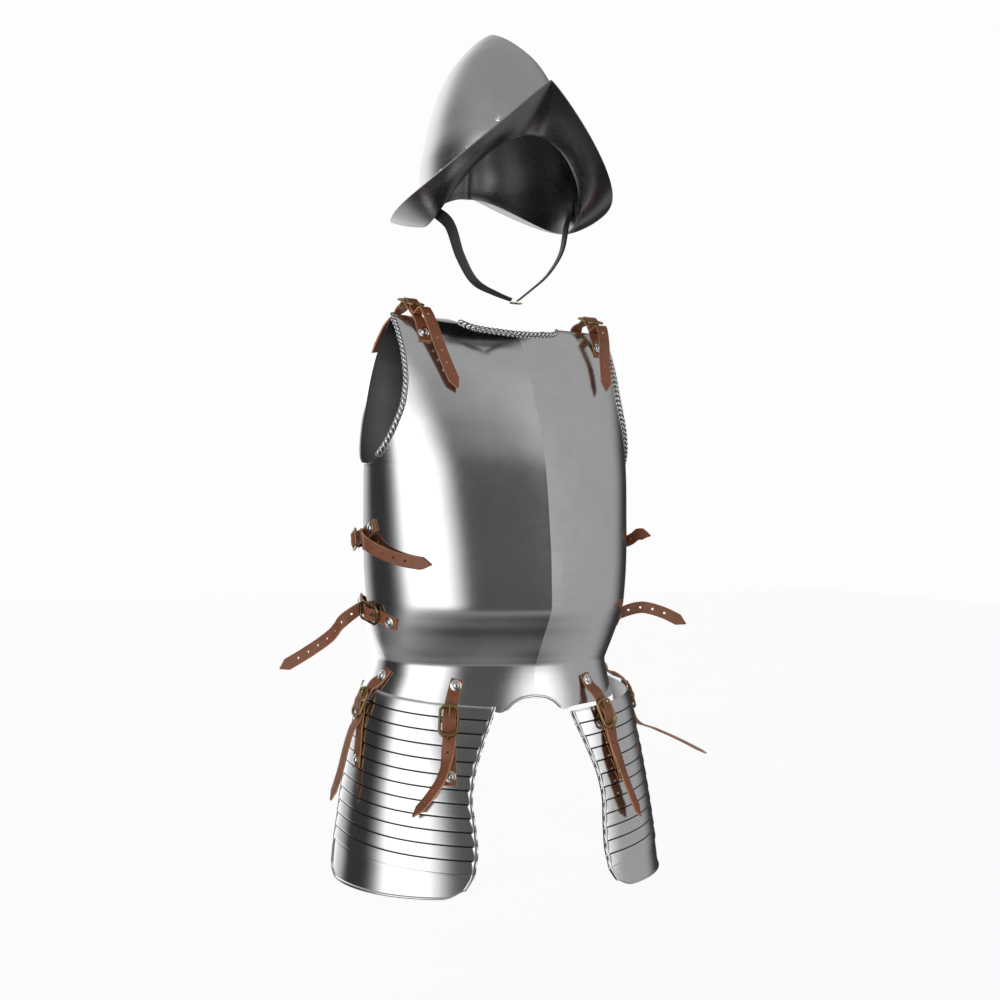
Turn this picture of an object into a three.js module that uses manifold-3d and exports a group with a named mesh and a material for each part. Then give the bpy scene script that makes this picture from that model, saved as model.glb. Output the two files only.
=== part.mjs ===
import * as THREE from "three";
import { mergeVertices } from "three/addons/utils/BufferGeometryUtils.js";
import Module from "manifold-3d";

const wasm = await Module();
wasm.setup();

// A pikeman's half armour in millimetres: helmet, breastplate, backplate and two tassets.
// X runs to the wearer's left, the front faces -Y and Z rises from the shoulder line.

const PLATE_WALL = 1.6;
const SEAT_GAP = 0.3;
const SIDE_LAP_GAP = 0.9;

const STRAP_WIDTH = 15.5;
const STRAP_THICKNESS = 2.2;
const STRAP_TIP = 12;
const STRAP_SEAT_GAP = 0.45;
const STRAP_REST = STRAP_SEAT_GAP + STRAP_THICKNESS / 2;

const BUCKLE_LENGTH = 38;
const BUCKLE_WIDTH = 25;
const BUCKLE_BAR = 4;
const BUCKLE_THICKNESS = 2.5;
const BUCKLE_OPENING = 18.6;
const BUCKLE_CORNER = 5;
const BUCKLE_LIFT = 6.6;
const BUCKLE_SLOPE = 0.1;

const WASHER_RADIUS = 7;
const RIVET_SEAT_REACH = WASHER_RADIUS + 1;
const RIVET_RADIUS = 4.2;
const RIVET_HEIGHT = 3.4;
const RIVET_SIDES = 8;
const HELMET_RIVET_SCALE = 0.62;
const RIBBON_STEP = 10;
const TAIL_TURN_STEPS = 3;
const BASE_DIVISIONS = 20;
const JOINT_DEPTH = 0.4;

const ROPE_RADIUS = 3.1;
const ROPE_GROOVE_RADIUS = 2.3;
const ROPE_PITCH = 6.5;
const ROPE_SIDES = 5;
const ROPE_GAP = 1;
const NECK_ROPE_REACH = 73;
const ARCH_ROLL_RADIUS = 1.7;
const ARCH_ROLL_REACH = 42;

const STEEL = { color: 0xc4c7cb, roughness: 0.22, metalness: 1 };
const SATIN_STEEL = { color: 0xaeb1b5, roughness: 0.34, metalness: 1 };
const LEATHER = { color: 0x7a4a33, roughness: 0.6, metalness: 0 };
const BLACK_LEATHER = { color: 0x1c1a19, roughness: 0.6, metalness: 0 };
const BRASS = { color: 0x8a7440, roughness: 0.35, metalness: 1 };

// The body's level sections are superellipses of this power.
const BODY_FULLNESS = 2.3;
const RIDGE_REACH = 70;
const RIDGE_POWER = 1.6;

const WAIST_HEIGHT = -433;
const UNDERARM_HEIGHT = -190;
const SHOULDER_HEIGHT = -2;

// Level sections of the body line, from the tassets' hem up to the shoulders.
const BODY = table(
  ["height", "halfWidth", "front", "ridge", "back"],
  [
    [-720, 205, 153, 0, 152],
    [-650, 198, 145, 0, 145],
    [-600, 192, 136, 0, 138],
    [-560, 186, 129, 0, 132],
    [-520, 179, 121, 0, 126],
    [-486, 173, 115, 0, 121],
    [-468, 168, 113.5, 0, 114],
    [-450, 162, 112.5, 1, 106],
    [-440, 159, 112, 2, 101],
    [WAIST_HEIGHT, 158, 112, 3, 99],
    [-426, 160, 114, 4, 98],
    [-412, 165, 119, 6, 96],
    [-395, 170, 126, 7, 94],
    [-380, 174, 133, 8, 93],
    [-357, 177, 141, 9, 93],
    [-310, 181, 139, 8, 98],
    [-250, 183, 131, 8, 106],
    [UNDERARM_HEIGHT, 184, 121, 7, 111],
    [-140, 184, 106, 6, 112],
    [-95, 182, 89, 5, 107],
    [-60, 178, 74, 4, 96],
    [-38, 172, 62, 3, 84],
    [-21, 165, 49, 2, 71],
    [-12, 160, 38, 1, 60],
    [-6, 157, 25, 0, 46],
    [-3, 155, 14, 0, 34],
    [SHOULDER_HEIGHT, 154, 6, 0, 28],
    [0, 153, 4, 0, 18],
  ],
);

// Half distance between the armholes of each plate.
const ARMHOLE = table(
  ["height", "breast", "back"],
  [
    [UNDERARM_HEIGHT, 183.9, 183.9],
    [-183, 181, 181],
    [-165, 174, 176],
    [-142, 166, 169],
    [-111, 156.5, 161],
    [-80, 152, 156],
    [-50, 151.5, 152],
    [-25, 152, 149],
    [-10, 152, 148],
    [SHOULDER_HEIGHT, 150, 146],
  ],
);

// How far round from the front each plate's side edge lies, in degrees, and the
// gentler line that the columns of points inside the edge follow.
const SIDE_EDGE = table(
  ["height", "breast", "back", "breastInside", "backInside"],
  [
    [-490, 80, 74, 80, 74],
    [WAIST_HEIGHT, 80, 74, 80, 74],
    [-390, 86, 79, 84, 79],
    [-340, 90, 82, 85, 83],
    [-250, 91, 83, 82, 88],
    [UNDERARM_HEIGHT, 91, 83, 77, 95],
    [-140, 91, 83, 68, 107],
    [-95, 91, 83, 61, 115],
    [-50, 91, 83, 59, 119],
    [SHOULDER_HEIGHT, 91, 83, 66, 114],
  ],
);
const EDGE_COLUMN_POWER = 7;

// Heights of the plates' upper and lower edges by distance from the middle.
const NECK_EDGE = table(
  ["across", "breast", "back"],
  [
    [0, -21, -10],
    [25, -20, -9],
    [52, -18, -7],
    [66, -14, -5],
    [76, -6, -3],
    [84, SHOULDER_HEIGHT, SHOULDER_HEIGHT],
    [160, SHOULDER_HEIGHT, SHOULDER_HEIGHT],
  ],
);
const HEM_EDGE = table(
  ["across", "breast", "back"],
  [
    [0, -470, -486],
    [14, -471.5, -486],
    [28, -477, -486],
    [40, -486, -486],
    [46, -488, -486],
    [60, -485, -486],
    [100, -483, -485],
    [180, -481, -483],
  ],
);

const BREAST_COLUMNS = 24;
const BACK_COLUMNS = 16;
const FLANGE_ROWS = [0, 0.4, 0.8];
const BREAST_ROWS = [
  WAIST_HEIGHT, -426, -414, -398, -378, -350, -310, -265, -222, UNDERARM_HEIGHT, -183, -169, -146,
  -120, -94, -70, -50, -34, -21, -11, -5, SHOULDER_HEIGHT,
];
const BACK_ROWS = [
  WAIST_HEIGHT, -418, -385, -335, -260, UNDERARM_HEIGHT, -183, -165, -140, -105, -70, -45, -25, -10,
  SHOULDER_HEIGHT,
];

// A tasset is one sheet embossed as a row of narrow lames over a deep hem band.
const TASSET_COLUMNS = 8;
const TASSET_TOP = -470;
const TASSET_HEM = -701;
const LAME_COUNT = 12;
const LAME_PITCH = 16.1;
const LAME_STEP = 1.4;
const LAME_EDGE = 1.2;
const LAME_SLANT = 10;
const TASSET_CORNER = 34;
const TASSET_RIM_WIDTH = 4.5;
const TASSET_RIM_RISE = 1.5;
const TASSET_STAND_OFF = PLATE_WALL + 1.3;

// The tasset's inner edge across from the middle and its rear edge in degrees round.
const TASSET_EDGE = table(
  ["height", "inner", "rear"],
  [
    [-701, 92, 101],
    [-684, 91, 101],
    [-644, 85, 101],
    [-617, 86, 101],
    [-591, 88, 102],
    [-568, 85, 102],
    [-521, 69, 103],
    [-498, 59, 103],
    [TASSET_TOP, 48, 103],
  ],
);
// Rows of the hem band, down from the lames, with the rise of its rolled hem.
const HEM_ROWS = [
  { fall: 0.35, rise: 0 },
  { fall: 0.7, rise: 0 },
  { fall: 0.87, rise: 0 },
  { fall: 0.91, rise: 1.5 },
  { fall: 1, rise: 1.5 },
];
// How each tasset hangs: its drop, and its swing out about its upper inner corner.
const TASSETS = [
  { name: "tasset_right", side: -1, drop: 0, twist: 0, tilt: 0 },
  { name: "tasset_left", side: 1, drop: 11, twist: -11, tilt: -2.6 },
];

// The helmet's own frame has its origin level with the base of the skull's sides.
const SKULL_HALF_WIDTH = 100;
const SKULL_HALF_LENGTH = 126;
const SKULL_BASE_RISE = 77;
const SKULL_HEIGHT = 255;
const SKULL_KEEL = 2.5;
const SKULL_KEEL_WIDTH = 9;
const BRIM_HALF_WIDTH = 137;
const BRIM_HALF_LENGTH = 197;
const BRIM_SIDE_HEIGHT = 17;
const BRIM_PEAK_RISE = 99;
const BRIM_RISE_POWER = 2.4;
const BRIM_TIP_POWER = 1.1;
const BRIM_SIDE_POWER = 2.4;
const BRIM_HOLLOW = 4;
const BRIM_RIM_RISE = 1.4;
const HELMET_WALL = 1.6;
const HELMET_FACET_DEPTH = 1.2;
const HELMET_COLUMNS = 32;
const HELMET_POSITION = [-8, -16, 122];
const HELMET_YAW = -10.7;
const HELMET_PITCH = -6.5;
const HELMET_ROLL = -2.4;

// Places for rivets round the skull; the front and the rear one stay free.
const HELMET_RIVETS = 16;
const HELMET_RIVET_LEVEL = 48;
const HELMET_RIVET_RISE = 69;
const HELMET_RIVET_POWER = 3.6;

const CHIN_STRAP_TOP = 20;
const CHIN_STRAP_WIDTH = 18;
const CHIN_STRAP_END_WIDTH = 8;
const CHIN_STRAP_TURN = 0.4;
const CHIN_STRAP_THICKNESS = 1.8;
const CHIN_STRAP_STEP = 14;
const CHIN_BUCKLE_SCALE = 0.4;
const CHIN_BUCKLE_PLACE = [-31, -98, 12];
// Each chin strap: its turn round the skull, the ways across it at its top and below, and its
// points below.
const CHIN_STRAPS = [
  {
    name: "chin_strap_right", turn: -88, top: [0.19, 0.98, 0], below: [-0.5, 0.87, 0],
    route: [[-94, -36, 112], [-88, -58, 68], [-76, -76, 36], [-52, -90, 21.6], [-36, -95.6, 16]],
  },
  {
    name: "chin_strap_left", turn: 88, top: [0.19, 0.98, 0], below: [0.19, 0.98, 0],
    route: [[75, -42, 128], [54, -64, 88], [24, -80, 54], [-8, -92, 30], [-28, -99, 16]],
  },
];

// Share of the skull's base size at each height.
const SKULL = table(
  ["height", "share"],
  [
    [0, 0.97],
    [41, 1],
    [75, 0.99],
    [116, 0.905],
    [157, 0.785],
    [198, 0.6],
    [226, 0.38],
    [243, 0.2],
    [SKULL_HEIGHT, 0.03],
  ],
);
const SKULL_ROWS = [0, 0.12, 0.27, 0.42, 0.57, 0.71, 0.83, 0.92, 0.975];
const BRIM_ROWS = [1, 0.97, 0.92, 0.89, 0.6, 0.3, 0.1];

// How high the billet's middle runs as it threads the buckle, by distance along from it.
const THREADING = [
  { along: -22, lift: STRAP_REST },
  { along: -14.5, lift: STRAP_REST + 0.1 },
  { along: -3, lift: 9.4 },
  { along: 3, lift: 9.4 },
  { along: 14.5, lift: 4.3 },
  { along: 20, lift: 4.9 },
];
// The buckle strap's end under the buckle's bar.
const BUCKLE_STRAP_END = [
  { along: -1.5, lift: 2.8 },
  { along: 3, lift: 2.8 },
  { along: 11, lift: STRAP_REST },
];

// Base points of the straps on the wearer's left, from the billet's end to the buckle
// strap's: the surface, then degrees round from the front and height, or a free point.
const SHOULDER_BASE = [
  ["back", 123, -46],
  ["back", 122, -36],
  ["back", 121, -20],
  ["back", 119, -10],
  ["free", 133, 18, 3],
  ["free", 134, 2, 9],
  ["free", 134, -13, 7],
  ["free", 131.5, -30, -8],
  ["breast", 46, -27.5],
  ["breast", 45.4, -38],
];
const UPPER_SIDE_BASE = [
  ["back", 118, -288],
  ["back", 114, -287],
  ["lap", 104, -285],
  ["lap", 98, -283],
  ["breast", 91, -279],
  ["breast", 81, -268],
  ["breast", 77, -264],
];
const LOWER_SIDE_BASE = [
  ["back", 112, -359],
  ["back", 108, -360],
  ["lap", 98, -363],
  ["lap", 91, -367],
  ["breast", 83, -371],
  ["breast", 76, -376],
  ["breast", 69, -381],
  ["breast", 65, -384],
];
const TASSET_FRONT_BASE = [
  ["breast", 35.5, -447],
  ["breast", 35.8, -455],
  ["tasset", 36, -468],
  ["tasset", 36.3, -482],
  ["tasset", 36.5, -495],
  ["tasset", 36, -515],
  ["tasset", 35.5, -540],
  ["tasset", 35, -560],
  ["tasset", 35, -570],
];
const TASSET_SIDE_BASE = [
  ["breast", 76.5, -441],
  ["breast", 78.2, -450.5],
  ["tasset", 84.5, -462],
  ["tasset", 87, -473],
  ["tasset", 88.2, -484],
  ["tasset", 88.3, -498],
  ["tasset", 87.3, -515],
  ["tasset", 85.5, -534],
  ["tasset", 84, -552],
  ["tasset", 83.5, -561],
];
const LEFT_TASSET_FRONT_BASE = [
  ["breast", 28.5, -447],
  ["breast", 29, -455],
  ["tasset", 32, -463],
  ["tasset", 33, -475],
  ["tasset", 33.5, -487],
  ["tasset", 35, -508],
  ["tasset", 36.5, -534],
  ["tasset", 38, -560],
  ["tasset", 38.5, -570],
];

// Every strap: its base, the base points of its buckle and rivets, the way across it and
// the free points that its tail hangs through.
const STRAPS = [
  {
    name: "shoulder_strap_right", side: -1, base: SHOULDER_BASE, buckle: 6, rivets: [1, 8],
    across: [1, 0, 0],
    tail: [[-130, -44, 4], [-125, -60, -20], [-118, -70, -48], [-110, -79, -74], [-102, -86, -96]],
  },
  {
    name: "shoulder_strap_left", side: 1, base: SHOULDER_BASE, buckle: 6, rivets: [1, 8],
    across: [1, 0, 0],
    tail: [[131, -44, 3], [128, -58, -18], [124, -66, -42], [121, -74, -64], [117, -82, -86]],
  },
  {
    name: "upper_side_strap_right", side: -1, base: UPPER_SIDE_BASE, buckle: 3, rivets: [1, 5],
    across: [0, 0, 1],
    tail: [[-192, -26, -286], [-183, -49, -296], [-168, -75, -304], [-143, -104, -309]],
  },
  {
    name: "upper_side_strap_left", side: 1, base: UPPER_SIDE_BASE, buckle: 3, rivets: [1, 5],
    across: [0, 0, 1],
    tail: [[193, -24, -281], [191, -44, -277], [191, -60, -270], [198, -76, -272]],
  },
  {
    name: "lower_side_strap_right", side: -1, base: [...LOWER_SIDE_BASE].reverse(), buckle: 3, rivets: [1, 6],
    across: [0, 0, 1],
    tail: [[-200, 16, -384], [-207, 34, -403], [-225, 62, -426], [-251, 94, -451]],
  },
  {
    name: "lower_side_strap_left", side: 1, base: LOWER_SIDE_BASE, buckle: 4, rivets: [1, 6],
    across: [0, 0, 1],
    tail: [[191, -47, -371], [201, -58, -368], [222, -76, -374], [246, -95, -388]],
  },
  {
    name: "tasset_front_strap_right", side: -1, base: TASSET_FRONT_BASE, buckle: 4, rivets: [1, 7],
    across: [0.25, -0.97, 0],
    tail: [[-117, -113, -525], [-121, -117, -542], [-130, -122, -560], [-145, -122, -580], [-165, -119, -602]],
  },
  {
    name: "tasset_side_strap_right", side: -1, base: TASSET_SIDE_BASE, buckle: 4, rivets: [1, 8],
    across: [0, 1, 0],
    tail: [[-190, 2, -515], [-198, 0, -536], [-208, -4, -568], [-219, -4, -601]],
  },
  {
    name: "tasset_front_strap_left", side: 1, base: LEFT_TASSET_FRONT_BASE, buckle: 4, rivets: [1, 7],
    across: [0.86, 0.5, 0],
    tail: [[112, -127.5, -534], [117, -133, -554], [125, -138, -578], [134, -142, -602], [144, -144, -624]],
  },
  {
    name: "tasset_side_strap_left", side: 1, base: TASSET_SIDE_BASE, buckle: 4, rivets: [1, 8],
    across: [0, 1, 0],
    tail: [[212, -36, -524], [236, -44, -534], [270, -53, -549], [312, -62, -570]],
  },
];

const degrees = THREE.MathUtils.degToRad;
const armour = new THREE.Group();

// Rows of numbers whose columns are read by name, smoothly between the rows.
function table(names, rows) {
  const keys = rows.map((row) => row[0]);
  const columns = {};
  names.slice(1).forEach((name, index) => {
    const values = rows.map((row) => row[index + 1]);
    columns[name] = (key) => smoothValue(keys, values, key);
  });
  return columns;
}

// Cubic interpolation that never overshoots the rows it passes through.
function smoothValue(keys, values, key) {
  const last = keys.length - 1;
  const at = Math.min(Math.max(key, keys[0]), keys[last]);
  let i = 0;
  while (i < last - 1 && at >= keys[i + 1]) {
    i += 1;
  }
  const slopeAt = (k) => {
    if (k === 0 || k === last) {
      const from = k === 0 ? 0 : last - 1;
      return (values[from + 1] - values[from]) / (keys[from + 1] - keys[from]);
    }
    const before = (values[k] - values[k - 1]) / (keys[k] - keys[k - 1]);
    const after = (values[k + 1] - values[k]) / (keys[k + 1] - keys[k]);
    if (before * after <= 0) {
      return 0;
    }
    const wide = 2 * (keys[k + 1] - keys[k]) + (keys[k] - keys[k - 1]);
    const narrow = keys[k + 1] - keys[k] + 2 * (keys[k] - keys[k - 1]);
    return (wide + narrow) / (wide / before + narrow / after);
  };
  const span = keys[i + 1] - keys[i];
  const t = (at - keys[i]) / span;
  return (
    values[i] * (1 + 2 * t) * (1 - t) ** 2 +
    span * slopeAt(i) * t * (1 - t) ** 2 +
    values[i + 1] * t * t * (3 - 2 * t) +
    span * slopeAt(i + 1) * t * t * (t - 1)
  );
}

function blend(from, to, share) {
  return from + (to - from) * share;
}

// The unit superellipse at an angle from the front: how far across and how far forward.
function bodySection(turn) {
  const across = Math.sin(turn);
  const forward = Math.cos(turn);
  const sum = Math.abs(across) ** BODY_FULLNESS + Math.abs(forward) ** BODY_FULLNESS;
  const reach = sum ** (-1 / BODY_FULLNESS);
  return { across: across * reach, forward: forward * reach };
}

// The angle at which a section lies a given share of its half width across.
function turnOfShare(share) {
  const part = Math.min(Math.abs(share), 0.999999) ** BODY_FULLNESS;
  return Math.sign(share) * Math.atan((part / (1 - part)) ** (1 / BODY_FULLNESS));
}

// A point on the body line, or a distance outside it.
function bodyPoint(turn, height, outside = 0) {
  const section = bodySection(turn);
  const x = (BODY.halfWidth(height) + outside) * section.across;
  const facing = section.forward > 0;
  const depth = (facing ? BODY.front(height) : BODY.back(height)) + outside;
  const nearness = Math.max(0, 1 - Math.abs(x) / RIDGE_REACH);
  const ridge = facing ? BODY.ridge(height) * nearness ** RIDGE_POWER : 0;
  return new THREE.Vector3(x, -depth * section.forward - ridge, height);
}

// Turns a list of points and triangles into one closed body that faces outward.
function closedGeometry(points, triangles) {
  let volume = 0;
  for (const [a, b, c] of triangles) {
    volume += points[a].dot(new THREE.Vector3().crossVectors(points[b], points[c]));
  }
  const faces = volume < 0 ? triangles.map(([a, b, c]) => [a, c, b]) : triangles;
  const geometry = new THREE.BufferGeometry().setFromPoints(points);
  geometry.setIndex(faces.flat());
  return geometry;
}

// Outward directions of a sheet given as rows of points, upward and leftward in turn.
function sheetNormals(rows, looped) {
  return rows.map((row, j) =>
    row.map((_point, i) => {
      const count = row.length;
      const before = looped ? (i - 1 + count) % count : Math.max(i - 1, 0);
      const after = looped ? (i + 1) % count : Math.min(i + 1, count - 1);
      const along = new THREE.Vector3().subVectors(row[after], row[before]);
      const below = rows[Math.max(j - 1, 0)][i];
      const above = rows[Math.min(j + 1, rows.length - 1)][i];
      const upward = new THREE.Vector3().subVectors(above, below);
      return along.cross(upward).normalize();
    }),
  );
}

// A plate: its outer face with any relief, an inner face one wall deep and its edges.
// An apex closes the top of a looped plate.
function plate(rows, wall, { relief = () => 0, looped = false, apex = null } = {}) {
  const normals = sheetNormals(rows, looped);
  const count = rows[0].length;
  const points = [];
  for (const inner of [false, true]) {
    rows.forEach((row, j) => {
      row.forEach((point, i) => {
        const shift = inner ? -wall : relief(j, i);
        points.push(point.clone().addScaledVector(normals[j][i], shift));
      });
    });
  }
  const layer = rows.length * count;
  const index = (inner, j, i) => (inner ? layer : 0) + j * count + (i % count);
  const triangles = [];
  const quad = (a, b, c, d) => triangles.push([a, b, c], [a, c, d]);
  const spans = looped ? count : count - 1;
  const top = rows.length - 1;
  for (let i = 0; i < spans; i += 1) {
    for (let j = 0; j < top; j += 1) {
      quad(index(false, j, i), index(false, j, i + 1), index(false, j + 1, i + 1), index(false, j + 1, i));
      quad(index(true, j, i), index(true, j + 1, i), index(true, j + 1, i + 1), index(true, j, i + 1));
    }
    quad(index(true, 0, i), index(true, 0, i + 1), index(false, 0, i + 1), index(false, 0, i));
    if (!apex) {
      quad(index(false, top, i), index(false, top, i + 1), index(true, top, i + 1), index(true, top, i));
    }
  }
  if (!looped) {
    for (let j = 0; j < top; j += 1) {
      quad(index(true, j, 0), index(false, j, 0), index(false, j + 1, 0), index(true, j + 1, 0));
      quad(index(false, j, count - 1), index(true, j, count - 1), index(true, j + 1, count - 1), index(false, j + 1, count - 1));
    }
  }
  if (apex) {
    const outerTip = points.push(apex.clone()) - 1;
    const innerTip = points.push(apex.clone().setZ(apex.z - 3 * wall)) - 1;
    for (let i = 0; i < spans; i += 1) {
      triangles.push([index(false, top, i), index(false, top, i + 1), outerTip]);
      triangles.push([index(true, top, i + 1), index(true, top, i), innerTip]);
    }
  }
  return closedGeometry(points, triangles);
}

// Joins rings of points, each with the same count, into one body with flat ends.
function sweptGeometry(points, sides) {
  const triangles = [];
  const rings = points.length / sides;
  for (let j = 0; j < rings - 1; j += 1) {
    for (let k = 0; k < sides; k += 1) {
      const next = (k + 1) % sides;
      const [a, b, c, d] = [j * sides + k, j * sides + next, (j + 1) * sides + next, (j + 1) * sides + k];
      triangles.push([a, b, c], [a, c, d]);
    }
  }
  const end = (rings - 1) * sides;
  for (let k = 1; k < sides - 1; k += 1) {
    triangles.push([0, k + 1, k], [end, end + k, end + k + 1]);
  }
  return closedGeometry(points, triangles);
}

// A tube of changing radius along a list of stations.
function rod(stations, sides) {
  const points = [];
  stations.forEach(({ point, along, side, radius }) => {
    const u = side.clone().addScaledVector(along, -side.dot(along)).normalize();
    const v = new THREE.Vector3().crossVectors(along, u);
    for (let k = 0; k < sides; k += 1) {
      const angle = (2 * Math.PI * k) / sides;
      const offset = u.clone().multiplyScalar(Math.cos(angle) * radius);
      points.push(point.clone().add(offset).addScaledVector(v, Math.sin(angle) * radius));
    }
  });
  return sweptGeometry(points, sides);
}

// A flat strap through stations that each name its middle and the way across it; its
// far end runs out to a point where asked.
function ribbon(given, { from = STRAP_WIDTH, to = STRAP_WIDTH, thickness = STRAP_THICKNESS, tip = false } = {}) {
  const stations = [...given];
  if (tip) {
    const end = stations.pop();
    while (stations[stations.length - 1].point.distanceTo(end.point) < 1.3 * STRAP_TIP) {
      stations.pop();
    }
    const before = stations[stations.length - 1].point;
    const share = 1 - STRAP_TIP / end.point.distanceTo(before);
    stations.push({ point: before.clone().lerp(end.point, share), across: end.across }, end);
  }
  const last = stations.length - 1;
  const corners = [];
  stations.forEach(({ point, across: hint }, k) => {
    const ahead = stations[Math.min(k + 1, last)].point;
    const along = ahead.clone().sub(stations[Math.max(k - 1, 0)].point).normalize();
    const across = hint.clone().addScaledVector(along, -hint.dot(along)).normalize();
    const upward = new THREE.Vector3().crossVectors(along, across);
    const width = tip && k === last ? to * 0.2 : blend(from, to, k / last);
    for (const [u, v] of [[-1, -1], [1, -1], [1, 1], [-1, 1]]) {
      const corner = point.clone().addScaledVector(across, (u * width) / 2);
      corners.push(corner.addScaledVector(upward, (v * thickness) / 2));
    }
  });
  return sweptGeometry(corners, 4);
}

function add(name, geometry, finish, parent = armour) {
  const mesh = new THREE.Mesh(geometry, new THREE.MeshStandardMaterial(finish));
  mesh.name = name;
  parent.add(mesh);
  return mesh;
}

// The plate's edge angle at a height, where the armhole or the side seam cuts it.
function edgeTurn(kind, height) {
  const side = degrees(SIDE_EDGE[kind](height));
  if (height <= UNDERARM_HEIGHT) {
    return side;
  }
  const armhole = turnOfShare(ARMHOLE[kind](height) / BODY.halfWidth(height));
  return kind === "breast" ? Math.min(armhole, side) : Math.PI - armhole;
}

// The angle of a column of points, whose outermost ones crowd to the plate's edge.
function columnTurn(kind, height, share) {
  const edge = edgeTurn(kind, height);
  const inside = degrees(SIDE_EDGE[`${kind}Inside`](height));
  const crowd = Math.sign(share) * Math.abs(share) ** EDGE_COLUMN_POWER;
  if (kind === "breast") {
    return share * inside + crowd * (edge - inside);
  }
  return Math.PI + share * (Math.PI - inside) - crowd * (edge - inside);
}

// One row of a plate: its nominal height bends to the neck above and the hem below.
function bodyRow(kind, height, flangeShare, columns, outside) {
  const row = [];
  for (let i = 0; i <= columns; i += 1) {
    const share = (2 * i) / columns - 1;
    const turn = columnTurn(kind, height, share);
    let bent = height;
    for (let pass = 0; pass < 4; pass += 1) {
      const across = Math.abs(BODY.halfWidth(bent) * bodySection(turn).across);
      if (flangeShare === null) {
        const rise = (height - WAIST_HEIGHT) / (SHOULDER_HEIGHT - WAIST_HEIGHT);
        bent = blend(WAIST_HEIGHT, NECK_EDGE[kind](across), rise);
      } else {
        bent = blend(HEM_EDGE[kind](across), WAIST_HEIGHT, flangeShare);
      }
    }
    row.push(bodyPoint(turn, bent, outside));
  }
  return row;
}

function bodyRows(kind, heights, columns, outside) {
  const flange = FLANGE_ROWS.map((share) => bodyRow(kind, WAIST_HEIGHT, share, columns, outside));
  const body = heights.map((height) => bodyRow(kind, height, null, columns, outside));
  return [...flange, ...body];
}

function addBreastplate() {
  const rows = bodyRows("breast", BREAST_ROWS, BREAST_COLUMNS, 0);
  add("breastplate", plate(rows, PLATE_WALL), STEEL);
}

function addBackplate() {
  const rows = bodyRows("back", BACK_ROWS, BACK_COLUMNS, -PLATE_WALL - SIDE_LAP_GAP);
  add("backplate", plate(rows, PLATE_WALL), STEEL);
}

// The rolled and roped border outside an edge, given with the way outward from it.
function addRope(name, edge) {
  const lengths = [0];
  for (let k = 1; k < edge.length; k += 1) {
    lengths.push(lengths[k - 1] + edge[k].point.distanceTo(edge[k - 1].point));
  }
  const total = lengths[lengths.length - 1];
  const centre = (at) => {
    let k = 0;
    while (k < edge.length - 2 && at > lengths[k + 1]) {
      k += 1;
    }
    const mix = (at - lengths[k]) / (lengths[k + 1] - lengths[k]);
    const outward = edge[k].outward.clone().lerp(edge[k + 1].outward, mix).normalize();
    const surface = edge[k].normal.clone().lerp(edge[k + 1].normal, mix).normalize();
    const point = edge[k].point.clone().lerp(edge[k + 1].point, mix);
    point.addScaledVector(outward, ROPE_RADIUS + ROPE_GAP);
    return { outward, point: point.addScaledVector(surface, ROPE_RADIUS - PLATE_WALL) };
  };
  const count = 2 * Math.round(total / ROPE_PITCH);
  const stations = [];
  for (let k = 0; k <= count; k += 1) {
    const at = (total * k) / count;
    const { point, outward } = centre(at);
    const ahead = centre(Math.min(at + 1, total)).point;
    const behind = centre(Math.max(at - 1, 0)).point;
    const along = ahead.sub(behind).normalize();
    const radius = k % 2 === 0 ? ROPE_RADIUS : ROPE_GROOVE_RADIUS;
    stations.push({ point, along, side: outward, radius });
  }
  add(name, rod(stations, ROPE_SIDES), STEEL);
}

// Edge points of the breastplate with their outward and surface directions.
function breastEdge(pick) {
  const rows = bodyRows("breast", BREAST_ROWS, BREAST_COLUMNS, 0);
  const normals = sheetNormals(rows, false);
  return pick(rows).map(({ j, i, inward }) => {
    const point = rows[j][i];
    const normal = normals[j][i];
    const outward = new THREE.Vector3().subVectors(point, rows[j + inward.j][i + inward.i]);
    outward.addScaledVector(normal, -outward.dot(normal)).normalize();
    return { point: point.clone(), normal, outward };
  });
}

function addRopedBorders() {
  for (const [name, column, inward] of [
    ["armhole_rope_right", 0, 1],
    ["armhole_rope_left", BREAST_COLUMNS, -1],
  ]) {
    const start = FLANGE_ROWS.length + BREAST_ROWS.indexOf(UNDERARM_HEIGHT) + 2;
    const edge = breastEdge((rows) => {
      const entries = [];
      for (let j = start; j < rows.length; j += 1) {
        entries.push({ j, i: column, inward: { j: 0, i: inward } });
      }
      return entries;
    });
    addRope(name, edge);
  }
  const neck = breastEdge((rows) => {
    const j = rows.length - 1;
    const entries = [];
    rows[j].forEach((point, i) => {
      if (Math.abs(point.x) < NECK_ROPE_REACH) {
        entries.push({ j, i, inward: { j: -1, i: 0 } });
      }
    });
    return entries;
  });
  addRope("neck_rope", neck);
}

// The small roll that stiffens the arch cut in the middle of the breastplate's hem.
function addArchRoll() {
  const edge = breastEdge((rows) => {
    const entries = [];
    rows[0].forEach((point, i) => {
      if (Math.abs(point.x) < ARCH_ROLL_REACH) {
        entries.push({ j: 0, i, inward: { j: 1, i: 0 } });
      }
    });
    return entries;
  });
  const centres = edge.map(({ point, normal, outward }) => {
    const raised = point.addScaledVector(normal, ARCH_ROLL_RADIUS + SEAT_GAP);
    return raised.addScaledVector(outward, -ARCH_ROLL_RADIUS);
  });
  const last = centres.length - 1;
  const stations = centres.map((point, k) => {
    const along = centres[Math.min(k + 1, last)].clone().sub(centres[Math.max(k - 1, 0)]).normalize();
    return { point, along, side: edge[k].normal, radius: ARCH_ROLL_RADIUS };
  });
  add("arch_roll", rod(stations, 6), STEEL);
}

// A point of a tasset's sheet before its relief, on the wearer's left.
function tassetPoint(turn, height) {
  return bodyPoint(turn, height, TASSET_STAND_OFF);
}

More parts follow.
